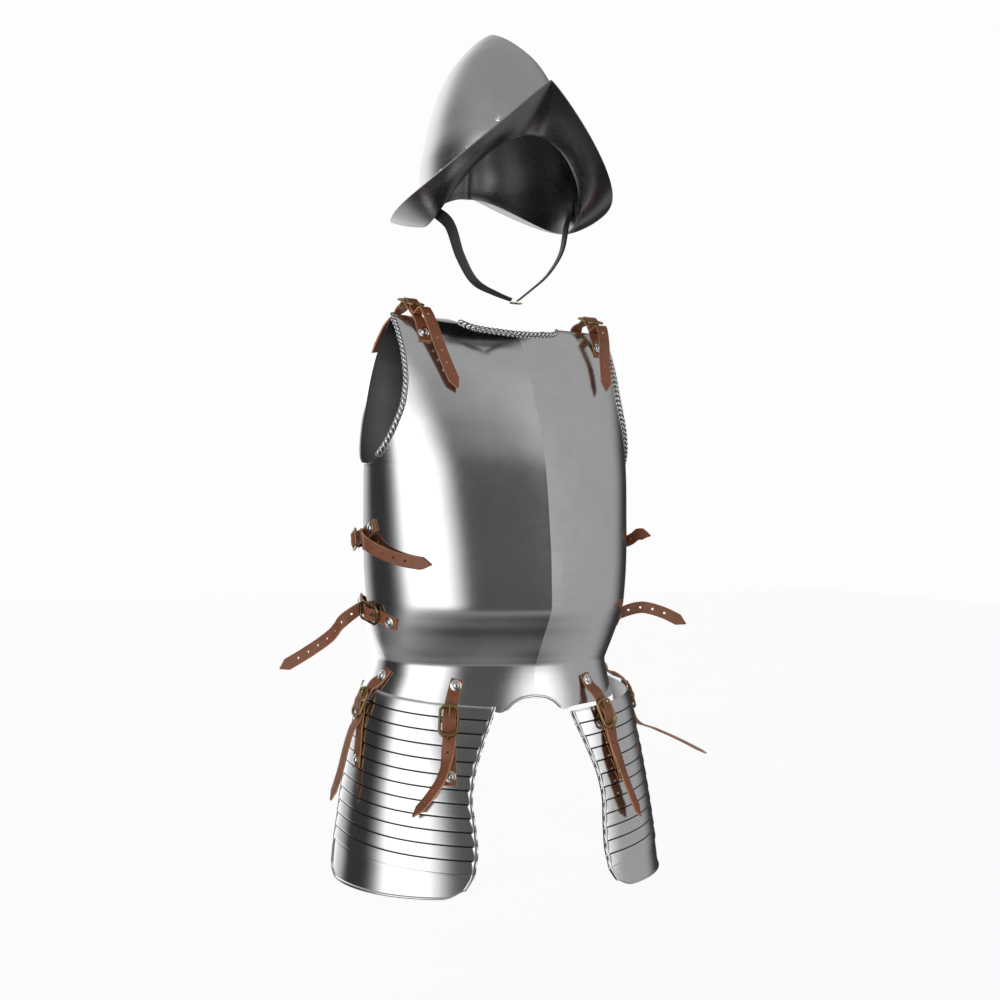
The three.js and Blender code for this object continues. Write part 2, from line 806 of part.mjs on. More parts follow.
// The place a tasset hangs from: its upper inner corner, where it turns and tilts.
function tassetHanger({ side, drop, twist, tilt }) {
  const corner = tassetPoint(tassetEdges(TASSET_TOP).inner, TASSET_TOP);
  const hanger = new THREE.Group();
  hanger.position.set(side * corner.x, corner.y, corner.z - drop);
  hanger.rotation.set(0, degrees(side * tilt), degrees(side * twist), "ZYX");
  const frame = new THREE.Group();
  frame.position.set(-side * corner.x, -corner.y, -corner.z);
  hanger.add(frame);
  armour.add(hanger);
  return frame;
}

// The tasset's edges at a height: the angle where its inner edge and its rear edge lie.
function tassetEdges(height) {
  const inner = turnOfShare(TASSET_EDGE.inner(height) / BODY.halfWidth(height));
  return { inner, rear: degrees(TASSET_EDGE.rear(height)) };
}

// The heights of the lames' rows, each with its rise over the sheet.
function lameRows() {
  const rows = [];
  for (let k = 0; k < LAME_COUNT; k += 1) {
    const top = TASSET_TOP - k * LAME_PITCH;
    rows.push({ height: top, rise: 0 });
    rows.push({ height: top - LAME_PITCH + LAME_EDGE, rise: LAME_STEP });
  }
  rows.push({ height: TASSET_TOP - LAME_COUNT * LAME_PITCH, rise: 0 });
  return rows;
}

// A lame's height at a share of its width, because the lames fall towards the inner edge.
function slanted(height, share) {
  return height + LAME_SLANT * (2 * share - 1);
}

// Columns of points across a tasset, close together under the rolled rims.
function tassetShares() {
  const rim = TASSET_RIM_WIDTH / 200;
  const middle = Array.from({ length: TASSET_COLUMNS - 1 }, (_unused, k) => (k + 1) / TASSET_COLUMNS);
  return [0, rim, 1.4 * rim, ...middle, 1 - 1.4 * rim, 1 - rim, 1];
}

// The hem band's outline: how far in and how far down a rounded corner has come.
function cornerRow(fall) {
  const angle = fall * (Math.PI / 4);
  return { inset: 1 - Math.cos(angle), down: Math.sin(angle) };
}

function addTasset(tasset) {
  const { name, side } = tasset;
  const shares = tassetShares();
  const lames = lameRows();
  const band = lames[lames.length - 1].height;
  const rows = lames.map(({ height }) => {
    const { inner } = tassetEdges(slanted(height, 0));
    const { rear } = tassetEdges(slanted(height, 1));
    return shares.map((share) => tassetPoint(blend(inner, rear, share), slanted(height, share)));
  });
  const rises = lames.map(({ rise }) => rise);
  const cornerTurn = TASSET_CORNER / BODY.halfWidth(TASSET_HEM);
  for (const { fall, rise } of HEM_ROWS) {
    const corner = cornerRow(fall);
    const [innerHeight, rearHeight] = [0, 1].map((side) => {
      const top = slanted(band, side);
      const straight = top - TASSET_HEM - TASSET_CORNER;
      return top - straight * Math.min(1, 2 * fall) - corner.down * TASSET_CORNER;
    });
    const { inner } = tassetEdges(innerHeight);
    const { rear } = tassetEdges(rearHeight);
    const from = inner + corner.inset * cornerTurn;
    const to = rear - corner.inset * cornerTurn;
    rows.push(
      shares.map((share) => {
        const bottom = hemHeight(share, (rear - inner) / cornerTurn);
        const height = blend(slanted(band, share), bottom, fall);
        const pull = Math.max(0, 1 - 6 * Math.min(share, 1 - share));
        const sideHeight = share < 0.5 ? innerHeight : rearHeight;
        return tassetPoint(blend(from, to, share), blend(height, sideHeight, pull ** 3));
      }),
    );
    rises.push(rise);
  }
  rows.reverse();
  rises.reverse();
  const rimColumn = (i) => i < 2 || i > shares.length - 3;
  const relief = (j, i) => (rimColumn(i) ? Math.max(TASSET_RIM_RISE, rises[j]) : rises[j]);
  const sided = side > 0 ? rows : rows.map((row) => row.map(mirrored).reverse());
  add(name, plate(sided, PLATE_WALL, { relief }), STEEL, tassetHanger(tasset));
}

// The height of the hem at a share of its width, rounded up at both corners.
function hemHeight(share, widthInCorners) {
  const { inset } = cornerRow(1);
  const edge = inset + Math.min(share, 1 - share) * (widthInCorners - 2 * inset);
  const reach = Math.max(0, 1 - edge);
  return TASSET_HEM + TASSET_CORNER * (1 - Math.sqrt(1 - reach * reach));
}

function mirrored(point) {
  return new THREE.Vector3(-point.x, point.y, point.z);
}

// A point on the helmet's skull at a height above its side base.
function skullPoint(turn, height) {
  const share = SKULL.share(height);
  const keel = SKULL_KEEL * share * Math.exp(-((SKULL_HALF_WIDTH * share * Math.sin(turn)) ** 2) / SKULL_KEEL_WIDTH ** 2);
  const x = SKULL_HALF_WIDTH * share * Math.sin(turn);
  const y = -(SKULL_HALF_LENGTH * share + keel) * Math.cos(turn);
  return new THREE.Vector3(x, y, height);
}

function signedPower(value, power) {
  return Math.sign(value) * Math.abs(value) ** power;
}

// A point on the brim's edge: pointed at both ends, rising to a peak there.
function brimEdgePoint(turn) {
  const x = BRIM_HALF_WIDTH * signedPower(Math.sin(turn), 2 / BRIM_TIP_POWER);
  const y = -BRIM_HALF_LENGTH * signedPower(Math.cos(turn), 2 / BRIM_SIDE_POWER);
  const height = BRIM_SIDE_HEIGHT + BRIM_PEAK_RISE * Math.abs(Math.cos(turn)) ** BRIM_RISE_POWER;
  return new THREE.Vector3(x, y, height);
}

function skullBase(turn) {
  return SKULL_BASE_RISE * Math.cos(turn) ** 2;
}

// A point of the brim from the skull's base at share 0 to the rim at share 1.
function brimPoint(turn, share) {
  const base = skullPoint(turn, skullBase(turn));
  const rim = brimEdgePoint(turn);
  const point = base.clone().lerp(rim, share);
  point.z -= BRIM_HOLLOW * Math.sin(Math.PI * share) * base.distanceTo(rim) * 0.01;
  return point;
}

function addHelmet() {
  const helmet = new THREE.Group();
  helmet.position.set(...HELMET_POSITION);
  helmet.rotation.set(degrees(HELMET_PITCH), degrees(HELMET_ROLL), degrees(HELMET_YAW), "ZYX");
  armour.add(helmet);
  const turns = Array.from({ length: HELMET_COLUMNS }, (_unused, k) => (2 * Math.PI * k) / HELMET_COLUMNS);
  const brim = BRIM_ROWS.map((share) => turns.map((turn) => brimPoint(turn, share)));
  const skull = SKULL_ROWS.map((share) =>
    turns.map((turn) => skullPoint(turn, blend(skullBase(turn), SKULL_HEIGHT, share))),
  );
  const relief = (j) => (j < 2 ? BRIM_RIM_RISE : 0);
  const apex = new THREE.Vector3(0, 0, SKULL_HEIGHT);
  const options = { relief, looped: true, apex };
  const shell = plate([...brim, ...skull], HELMET_WALL, options);
  const rivets = [];
  for (let k = 1; k < HELMET_RIVETS; k += 1) {
    if (k !== HELMET_RIVETS / 2) {
      rivets.push(skullRivet((2 * Math.PI * k) / HELMET_RIVETS));
    }
  }
  add("helmet", joined([shell, ...rivets]), SATIN_STEEL, helmet);
}

// A rivet sunk slightly in the skull, on the line that holds the lining band.
function skullRivet(turn) {
  const height = HELMET_RIVET_LEVEL + HELMET_RIVET_RISE * Math.abs(Math.cos(turn)) ** HELMET_RIVET_POWER;
  const point = skullPoint(turn, height);
  const around = skullPoint(turn + 0.02, height).sub(point);
  const upward = skullPoint(turn, height + 2).sub(point);
  const outward = around.cross(upward).normalize();
  const turned = new THREE.Quaternion().setFromUnitVectors(new THREE.Vector3(0, 0, 1), outward);
  const geometry = rivetGeometry(HELMET_RIVET_SCALE).applyQuaternion(turned);
  return geometry.translate(...point.addScaledVector(outward, -0.5));
}

// Chin straps hang from inside the skull and meet in a small buckle under the chin.
function addChinStraps() {
  const helmet = armour.getObjectByName("helmet");
  for (const { name, turn, top, below, route } of CHIN_STRAPS) {
    const inside = [CHIN_STRAP_TOP + 14, CHIN_STRAP_TOP].map((height) => {
      const point = skullPoint(degrees(turn), height);
      const depth = HELMET_WALL + SEAT_GAP + CHIN_STRAP_THICKNESS / 2 + HELMET_FACET_DEPTH;
      return helmet.localToWorld(point.setX(point.x * (1 - depth / Math.abs(point.x))));
    });
    const points = [...inside, ...route.map((entry) => new THREE.Vector3(...entry))];
    const path = new THREE.CatmullRomCurve3(points, false, "centripetal");
    const steps = Math.round(path.getLength() / CHIN_STRAP_STEP);
    const sizes = { from: CHIN_STRAP_WIDTH, to: CHIN_STRAP_END_WIDTH, thickness: CHIN_STRAP_THICKNESS };
    const lower = new THREE.Vector3(...below);
    const stations = path.getSpacedPoints(steps).map((point, k) => {
      const across = new THREE.Vector3(...top).lerp(lower, Math.min(1, k / steps / CHIN_STRAP_TURN));
      return { point, across };
    });
    add(name, ribbon(stations, sizes), BLACK_LEATHER);
  }
  const buckle = buckleGeometry().scale(CHIN_BUCKLE_SCALE, CHIN_BUCKLE_SCALE, CHIN_BUCKLE_SCALE);
  add("chin_buckle", buckle.rotateZ(Math.PI / 2).translate(...CHIN_BUCKLE_PLACE), BRASS);
}

// A round-headed rivet on its washer, standing on the level z = 0.
function rivetGeometry(scale = 1) {
  const profile = [
    [0, 0],
    [WASHER_RADIUS, 0],
    [WASHER_RADIUS, 0.9],
    [RIVET_RADIUS, 1.2],
    [0.7 * RIVET_RADIUS, 0.8 * RIVET_HEIGHT],
    [0, RIVET_HEIGHT],
  ];
  const points = profile.map(([radius, height]) => new THREE.Vector2(radius * scale, height * scale));
  const head = new THREE.LatheGeometry(points, RIVET_SIDES).rotateX(Math.PI / 2);
  return head.rotateZ(Math.PI / RIVET_SIDES);
}

// A flat eight-sided buckle with a bar across its middle, centred on its own frame.
function buckleGeometry() {
  const [w, l, c] = [BUCKLE_WIDTH / 2, BUCKLE_LENGTH / 2, BUCKLE_CORNER];
  const outline = [[w, -l + c], [w, l - c], [w - c, l], [c - w, l], [-w, l - c], [-w, c - l], [c - w, -l], [w - c, -l]];
  const frame = new THREE.Shape(outline.map(([x, y]) => new THREE.Vector2(x, y)));
  const [x, y] = [BUCKLE_OPENING / 2, l - BUCKLE_BAR];
  const opening = [[-x, -y], [-x, y], [x, y], [x, -y]];
  frame.holes.push(new THREE.Path(opening.map(([across, along]) => new THREE.Vector2(across, along))));
  const ring = new THREE.ExtrudeGeometry(frame, { depth: BUCKLE_THICKNESS, bevelEnabled: false });
  ring.translate(0, 0, -BUCKLE_THICKNESS / 2);
  return joined([ring, new THREE.BoxGeometry(BUCKLE_OPENING + 2, BUCKLE_BAR, BUCKLE_THICKNESS - 0.2)]);
}

function solidOf(geometry) {
  const bare = geometry.clone();
  bare.deleteAttribute("normal");
  bare.deleteAttribute("uv");
  const merged = mergeVertices(bare, 1e-4);
  const corners = [];
  for (let k = 0; k < merged.index.count; k += 3) {
    const triangle = [0, 1, 2].map((step) => merged.index.getX(k + step));
    if (new Set(triangle).size === 3) {
      corners.push(...triangle);
    }
  }
  const vertProperties = new Float32Array(merged.attributes.position.array);
  return new wasm.Manifold(new wasm.Mesh({ numProp: 3, vertProperties, triVerts: new Uint32Array(corners) }));
}

// One body out of several that reach into each other.
function joined(geometries) {
  const [first, ...others] = geometries.map(solidOf);
  const mesh = others.reduce((solid, other) => solid.add(other), first).getMesh();
  const geometry = new THREE.BufferGeometry();
  geometry.setAttribute("position", new THREE.BufferAttribute(new Float32Array(mesh.vertProperties), 3));
  geometry.setIndex(new THREE.BufferAttribute(new Uint32Array(mesh.triVerts), 1));
  return geometry;
}

// The place on a plate's outer face that a base point names, and the way out from it.
function basePoint([surface, first, second, third], side) {
  if (surface === "free") {
    return { point: new THREE.Vector3(side * first, second, third), normal: new THREE.Vector3(0, 0, 1) };
  }
  const stands = { back: -PLATE_WALL - SIDE_LAP_GAP, tasset: TASSET_STAND_OFF + LAME_STEP };
  const outside = stands[surface] ?? 0;
  const turn = degrees(side * first);
  const point = bodyPoint(turn, second, outside);
  const around = bodyPoint(turn + 0.01, second, outside).sub(point);
  const upward = bodyPoint(turn, second + 1, outside).sub(point);
  const normal = around.cross(upward).normalize();
  if (surface === "tasset") {
    const tasset = armour.getObjectByName(side < 0 ? "tasset_right" : "tasset_left");
    tasset.localToWorld(point);
    normal.transformDirection(tasset.matrixWorld);
  }
  return { point, normal };
}

// The curve under a strap, measured from its buckle, with its directions at a distance.
function strapBase({ base, side, buckle }) {
  const knots = base.map((entry) => basePoint(entry, side));
  const path = new THREE.CatmullRomCurve3(knots.map((knot) => knot.point), false, "centripetal");
  path.arcLengthDivisions = BASE_DIVISIONS * (knots.length - 1);
  const lengths = path.getLengths();
  const origin = lengths[buckle * BASE_DIVISIONS];
  const total = lengths[lengths.length - 1];
  return {
    start: -origin,
    end: total - origin,
    distanceTo: (index) => lengths[index * BASE_DIVISIONS] - origin,
    frame: (distance) => {
      const share = THREE.MathUtils.clamp((distance + origin) / total, 0, 1);
      const along = path.getTangentAt(share);
      const at = path.getUtoTmapping(share) * (knots.length - 1);
      const low = Math.min(Math.floor(at), knots.length - 2);
      const normal = knots[low].normal.clone().lerp(knots[low + 1].normal, at - low);
      const up = normal.addScaledVector(along, -normal.dot(along)).normalize();
      return { point: path.getPointAt(share), along, up, sideways: new THREE.Vector3().crossVectors(along, up) };
    },
  };
}

// A strap's station: its middle, lifted off the base, and the way across it.
function station(base, distance, lift) {
  const { point, up, sideways } = base.frame(distance);
  return { point: point.addScaledVector(up, lift), across: sideways };
}

// The frame of a straight stretch of the base that reaches to both sides of a distance.
function chordFrame(base, distance, reach) {
  const [before, at, after] = [-reach, 0, reach].map((step) => base.frame(distance + step));
  const along = after.point.clone().sub(before.point).normalize();
  const up = at.up.addScaledVector(along, -at.up.dot(along)).normalize();
  const point = before.point.clone().add(after.point).multiplyScalar(0.5);
  return { point, along, up, sideways: new THREE.Vector3().crossVectors(along, up) };
}

// Stations resting on the base between two distances, with a flat place for a rivet.
function restingStations(base, from, to, rivet) {
  const flat = chordFrame(base, rivet, RIVET_SEAT_REACH);
  const flatEnds = [-RIVET_SEAT_REACH, RIVET_SEAT_REACH].map((step) => {
    const { point } = base.frame(rivet + step);
    return { point: point.addScaledVector(flat.up, STRAP_REST), across: flat.sideways };
  });
  const run = (start, end) => {
    const count = Math.max(1, Math.round(Math.abs(end - start) / RIBBON_STEP));
    const share = (k) => blend(start, end, (k + 1) / count);
    return Array.from({ length: count }, (_unused, k) => station(base, share(k), STRAP_REST));
  };
  const before = run(rivet - RIVET_SEAT_REACH, from).reverse();
  return [...before, ...flatEnds, ...run(rivet + RIVET_SEAT_REACH, to)];
}

// A tail's stations past the buckle, turning to the way across it that the strap names.
function tailStations(threading, { tail, across }) {
  const knots = [...threading.slice(-2).map(({ point }) => point), ...tail.map((point) => new THREE.Vector3(...point))];
  const path = new THREE.CatmullRomCurve3(knots, false, "centripetal");
  const length = path.getLength();
  const skipped = threading[threading.length - 1].point.distanceTo(knots[0]) + RIBBON_STEP / 2;
  const count = Math.round((length - skipped) / RIBBON_STEP);
  const start = threading[threading.length - 1].across;
  const end = new THREE.Vector3(...across);
  if (end.dot(start) < 0) {
    end.negate();
  }
  return Array.from({ length: count + 1 }, (_unused, k) => ({
    point: path.getPointAt(blend(skipped / length, 1, k / count)),
    across: start.clone().lerp(end, Math.min(1, k / TAIL_TURN_STEPS)),
  }));
}

// Sets a piece on a frame, lifted off it and tilted up along the strap.
function seated(geometry, { point, along, up, sideways }, lift, slope = 0) {
  const tilt = new THREE.Quaternion().setFromAxisAngle(sideways, Math.atan(slope));
  const turn = new THREE.Matrix4();
  turn.makeBasis(sideways, along.clone().applyQuaternion(tilt), up.clone().applyQuaternion(tilt));
  return geometry.applyMatrix4(turn.setPosition(point.clone().addScaledVector(up, lift)));
}

// A strap: billet and tail in one, buckle strap, buckle and rivets. A shoulder strap's
// rivet on the backplate is one solid with its billet.
function addStrap(strap) {
  const { name, rivets } = strap;
  const base = strapBase(strap);
  const places = rivets.map((index) => base.distanceTo(index));
  const threading = THREADING.map(({ along, lift }) => station(base, along, lift));
  const billet = [
    ...restingStations(base, base.start, THREADING[0].along - RIBBON_STEP / 2, places[0]),
    ...threading,
    ...tailStations(threading, strap),
  ];
  const buckleStrap = [
    ...BUCKLE_STRAP_END.map(({ along, lift }) => station(base, along, lift)),
    ...restingStations(base, BUCKLE_STRAP_END[2].along + RIBBON_STEP, base.end, places[1]),
  ];
  const pieces = [
    ["billet", ribbon(billet, { tip: true })],
    ["buckle_strap", ribbon(buckleStrap)],
  ];
  const strapTop = STRAP_REST + STRAP_THICKNESS / 2;
  pieces.forEach(([piece, geometry], k) => {
    const fused = strap.base === SHOULDER_BASE && piece === "billet";
    const lift = strapTop + (fused ? -JOINT_DEPTH : SEAT_GAP);
    const rivet = seated(rivetGeometry(), chordFrame(base, places[k], RIVET_SEAT_REACH), lift);
    if (fused) {
      add(`${name}_${piece}`, joined([geometry, rivet]), LEATHER);
    } else {
      add(`${name}_${piece}`, geometry, LEATHER);
      add(`${name}_${piece}_rivet`, rivet, STEEL);
    }
  });
  const seat = { ...chordFrame(base, 0, BUCKLE_LENGTH / 2), point: base.frame(0).point };
  add(`${name}_buckle`, seated(buckleGeometry(), seat, BUCKLE_LIFT, BUCKLE_SLOPE), BRASS);
}

addBreastplate();
addBackplate();
addRopedBorders();
addArchRoll();
TASSETS.forEach(addTasset);
addHelmet();
armour.updateMatrixWorld(true);
STRAPS.forEach(addStrap);
addChinStraps();

export default armour;
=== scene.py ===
"""Dresses a pikeman's half armour: polished plates, leather straps, buckles and a studio."""

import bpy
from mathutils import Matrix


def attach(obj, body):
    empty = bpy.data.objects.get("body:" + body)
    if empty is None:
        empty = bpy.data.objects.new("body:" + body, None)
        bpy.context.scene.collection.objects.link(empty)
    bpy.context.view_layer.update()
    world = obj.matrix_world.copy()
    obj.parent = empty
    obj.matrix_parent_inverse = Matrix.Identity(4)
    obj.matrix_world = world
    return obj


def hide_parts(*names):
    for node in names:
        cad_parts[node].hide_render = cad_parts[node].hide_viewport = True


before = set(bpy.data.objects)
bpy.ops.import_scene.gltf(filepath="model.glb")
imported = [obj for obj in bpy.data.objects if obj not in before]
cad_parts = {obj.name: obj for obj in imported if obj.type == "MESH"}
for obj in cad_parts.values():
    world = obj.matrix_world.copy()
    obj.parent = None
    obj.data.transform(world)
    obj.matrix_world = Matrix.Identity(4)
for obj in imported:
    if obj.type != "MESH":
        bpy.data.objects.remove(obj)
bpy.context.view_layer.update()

import math

import bpy
import numpy as np
from mathutils import Matrix, Vector

bl_info = {
    "name": "Pikeman Half Armour",
    "version": (1, 0, 0),
    "blender": (4, 5, 0),
    "location": "View3D > Sidebar > Half Armour",
    "description": "Builds the plates, straps and buckles of a pikeman's half armour",
    "category": "Object",
}

# Sizes are in millimetres: X to the wearer's left, the front faces -Y and Z rises from the shoulders.
MM = 0.001
BODY_NAME = "root"
SIDE_LAP_GAP = 0.9
TASSET_GAP = 1.3
FACET_ANGLE = 32
SQUARE_CORNERS = [(-1, -1), (1, -1), (1, 1), (-1, 1)]

# The body's level sections are superellipses of this power.
BODY_FULLNESS = 2.3
RIDGE_REACH = 70
RIDGE_POWER = 1.6
WAIST_HEIGHT = -433
UNDERARM_HEIGHT = -190
SHOULDER_HEIGHT = -2
EDGE_COLUMN_POWER = 7

# Level sections of the body line, from the tassets' hem up to the shoulders:
# height, half width, front depth, ridge and back depth.
BODY_COLUMNS = ("height", "half_width", "front", "ridge", "back")
BODY_ROWS = [
    (-720, 205, 153, 0, 152),
    (-650, 198, 145, 0, 145),
    (-600, 192, 136, 0, 138),
    (-560, 186, 129, 0, 132),
    (-520, 179, 121, 0, 126),
    (-486, 173, 115, 0, 121),
    (-468, 168, 113.5, 0, 114),
    (-450, 162, 112.5, 1, 106),
    (-440, 159, 112, 2, 101),
    (WAIST_HEIGHT, 158, 112, 3, 99),
    (-426, 160, 114, 4, 98),
    (-412, 165, 119, 6, 96),
    (-395, 170, 126, 7, 94),
    (-380, 174, 133, 8, 93),
    (-357, 177, 141, 9, 93),
    (-310, 181, 139, 8, 98),
    (-250, 183, 131, 8, 106),
    (UNDERARM_HEIGHT, 184, 121, 7, 111),
    (-140, 184, 106, 6, 112),
    (-95, 182, 89, 5, 107),
    (-60, 178, 74, 4, 96),
    (-38, 172, 62, 3, 84),
    (-21, 165, 49, 2, 71),
    (-12, 160, 38, 1, 60),
    (-6, 157, 25, 0, 46),
    (-3, 155, 14, 0, 34),
    (SHOULDER_HEIGHT, 154, 6, 0, 28),
    (0, 153, 4, 0, 18),
]

# Half distance between the armholes of each plate.
ARMHOLE_COLUMNS = ("height", "breast", "back")
ARMHOLE_ROWS = [
    (UNDERARM_HEIGHT, 183.9, 183.9),
    (-183, 181, 181),
    (-165, 174, 176),
    (-142, 166, 169),
    (-111, 156.5, 161),
    (-80, 152, 156),
    (-50, 151.5, 152),
    (-25, 152, 149),
    (-10, 152, 148),
    (SHOULDER_HEIGHT, 150, 146),
]

# How far round from the front each plate's side edge lies, in degrees, and the gentler
# line that the columns inside the edge follow.
SIDE_EDGE_COLUMNS = ("height", "breast", "back", "breast_inside", "back_inside")
SIDE_EDGE_ROWS = [
    (-490, 80, 74, 80, 74),
    (WAIST_HEIGHT, 80, 74, 80, 74),
    (-390, 86, 79, 84, 79),
    (-340, 90, 82, 85, 83),
    (-250, 91, 83, 82, 88),
    (UNDERARM_HEIGHT, 91, 83, 77, 95),
    (-140, 91, 83, 68, 107),
    (-95, 91, 83, 61, 115),
    (-50, 91, 83, 59, 119),
    (SHOULDER_HEIGHT, 91, 83, 66, 114),
]

# Heights of the plates' upper and lower edges by distance from the middle.
EDGE_COLUMNS = ("across", "breast", "back")
NECK_EDGE_ROWS = [
    (0, -21, -10),
    (25, -20, -9),
    (52, -18, -7),
    (66, -14, -5),
    (76, -6, -3),
    (84, SHOULDER_HEIGHT, SHOULDER_HEIGHT),
    (160, SHOULDER_HEIGHT, SHOULDER_HEIGHT),
]
HEM_EDGE_ROWS = [
    (0, -470, -486),
    (14, -471.5, -486),
    (28, -477, -486),
    (40, -486, -486),
    (46, -488, -486),
    (60, -485, -486),
    (100, -483, -485),
    (180, -481, -483),
]

# A tasset is one sheet embossed as a row of narrow lames over a deep hem band.
TASSET_TOP = -470
TASSET_HEM = -701
LAME_COUNT = 12
LAME_PITCH = 16.1
LAME_SLANT = 10
LAME_STEP = 1.4
LAME_GROOVE = 0.5
TASSET_CORNER = 34
TASSET_RIM_WIDTH = 4.5
TASSET_RIM_RISE = 1.5
TASSET_EDGE_COLUMNS = ("height", "inner", "rear")
TASSET_EDGE_ROWS = [
    (-701, 92, 101),
    (-684, 91, 101),
    (-644, 85, 101),
    (-617, 86, 101),
    (-591, 88, 102),
    (-568, 85, 102),
    (-521, 69, 103),
    (-498, 59, 103),
    (TASSET_TOP, 48, 103),
]
# How each tasset hangs: its side, its drop, and its swing out about its upper inner corner.
TASSETS = {
    "tasset_right": {"side": -1, "drop": 0, "twist": 0, "tilt": 0},
    "tasset_left": {"side": 1, "drop": 11, "twist": -11, "tilt": -2.6},
}

# The helmet's own frame has its origin level with the base of the skull's sides.
SKULL_HALF_WIDTH = 100
SKULL_HALF_LENGTH = 126
SKULL_BASE_RISE = 77
SKULL_HEIGHT = 255
SKULL_KEEL = 2.5
SKULL_KEEL_WIDTH = 9
BRIM_HALF_WIDTH = 137
BRIM_HALF_LENGTH = 197
BRIM_SIDE_HEIGHT = 17
BRIM_PEAK_RISE = 99
BRIM_RISE_POWER = 2.4
BRIM_TIP_POWER = 1.1
BRIM_SIDE_POWER = 2.4
BRIM_HOLLOW = 4
BRIM_RIM_RISE = 1.4
HELMET_POSITION = (-8, -16, 122)
HELMET_YAW = -10.7
HELMET_PITCH = -6.5
HELMET_ROLL = -2.4
HELMET_RIVETS = 16
HELMET_RIVET_LEVEL = 48
HELMET_RIVET_RISE = 69
HELMET_RIVET_POWER = 3.6
HELMET_RIVET_SCALE = 0.62
SKULL_COLUMNS = ("height", "share")
SKULL_ROWS = [
    (0, 0.97),
    (41, 1),
    (75, 0.99),
    (116, 0.905),
    (157, 0.785),
    (198, 0.6),
    (226, 0.38),
    (243, 0.2),
    (SKULL_HEIGHT, 0.03),
]

CHIN_STRAP_TOP = 20
CHIN_STRAP_WIDTH = 18
CHIN_STRAP_END_WIDTH = 8
CHIN_STRAP_TURN = 0.4
CHIN_STRAP_THICKNESS = 1.8
CHIN_STRAP_DEPTH = 4
CHIN_BUCKLE_SCALE = 0.4
CHIN_BUCKLE_PLACE = (-31, -98, 12)
# Each chin strap: its turn round the skull, the ways across it at its top and below, and its points.
CHIN_STRAPS = {
    "chin_strap_right": {
        "turn": -88, "top": (0.19, 0.98, 0), "below": (-0.5, 0.87, 0),
        "route": [(-94, -36, 112), (-88, -58, 68), (-76, -76, 36), (-52, -90, 21.6), (-36, -95.6, 16)],
    },
    "chin_strap_left": {
        "turn": 88, "top": (0.19, 0.98, 0), "below": (0.19, 0.98, 0),
        "route": [(75, -42, 128), (54, -64, 88), (24, -80, 54), (-8, -92, 30), (-28, -99, 16)],
    },
}

STRAP_TIP = 12
STRAP_SEAT_GAP = 0.45
STRAP_STEP = 10
TAIL_TURN_STEPS = 3
BUCKLE_LENGTH = 38
BUCKLE_WIDTH = 25
BUCKLE_BAR = 4
BUCKLE_THICKNESS = 2.6
BUCKLE_OPENING = 18.6
BUCKLE_CORNER = 5.5
BUCKLE_LIFT = 6.6
BUCKLE_SLOPE = 0.1
RIVET_SEAT_REACH = 8
WASHER_RADIUS = 7
RIVET_RADIUS = 4.2
RIVET_HEIGHT = 3.4

# Base points of the straps on the wearer's left, from the billet's end to the buckle
# strap's: the surface, then degrees round from the front and height, or a free point.
SHOULDER_BASE = [
    ("back", 123, -46),
    ("back", 122, -36),
    ("back", 121, -20),
    ("back", 119, -10),
    ("free", 133, 18, 3),
    ("free", 134, 2, 9),
    ("free", 134, -13, 7),
    ("free", 131.5, -30, -8),
    ("breast", 46, -27.5),
    ("breast", 45.4, -38),
]
UPPER_SIDE_BASE = [
    ("back", 118, -288),
    ("back", 114, -287),
    ("lap", 104, -285),
    ("lap", 98, -283),
    ("breast", 91, -279),
    ("breast", 81, -268),
    ("breast", 77, -264),
]
LOWER_SIDE_BASE = [
    ("back", 112, -359),
    ("back", 108, -360),
    ("lap", 98, -363),
    ("lap", 91, -367),
    ("breast", 83, -371),
    ("breast", 76, -376),
    ("breast", 69, -381),
    ("breast", 65, -384),
]
TASSET_FRONT_BASE = [
    ("breast", 35.5, -447),
    ("breast", 35.8, -455),
    ("tasset", 36, -468),
    ("tasset", 36.3, -482),
    ("tasset", 36.5, -495),
    ("tasset", 36, -515),
    ("tasset", 35.5, -540),
    ("tasset", 35, -560),
    ("tasset", 35, -570),
]
TASSET_SIDE_BASE = [
    ("breast", 76.5, -441),
    ("breast", 78.2, -450.5),
    ("tasset", 84.5, -462),
    ("tasset", 87, -473),
    ("tasset", 88.2, -484),
    ("tasset", 88.3, -498),
    ("tasset", 87.3, -515),
    ("tasset", 85.5, -534),
    ("tasset", 84, -552),
    ("tasset", 83.5, -561),
]
LEFT_TASSET_FRONT_BASE = [
    ("breast", 28.5, -447),
    ("breast", 29, -455),
    ("tasset", 32, -463),
    ("tasset", 33, -475),
    ("tasset", 33.5, -487),
    ("tasset", 35, -508),
    ("tasset", 36.5, -534),
    ("tasset", 38, -560),
    ("tasset", 38.5, -570),
]

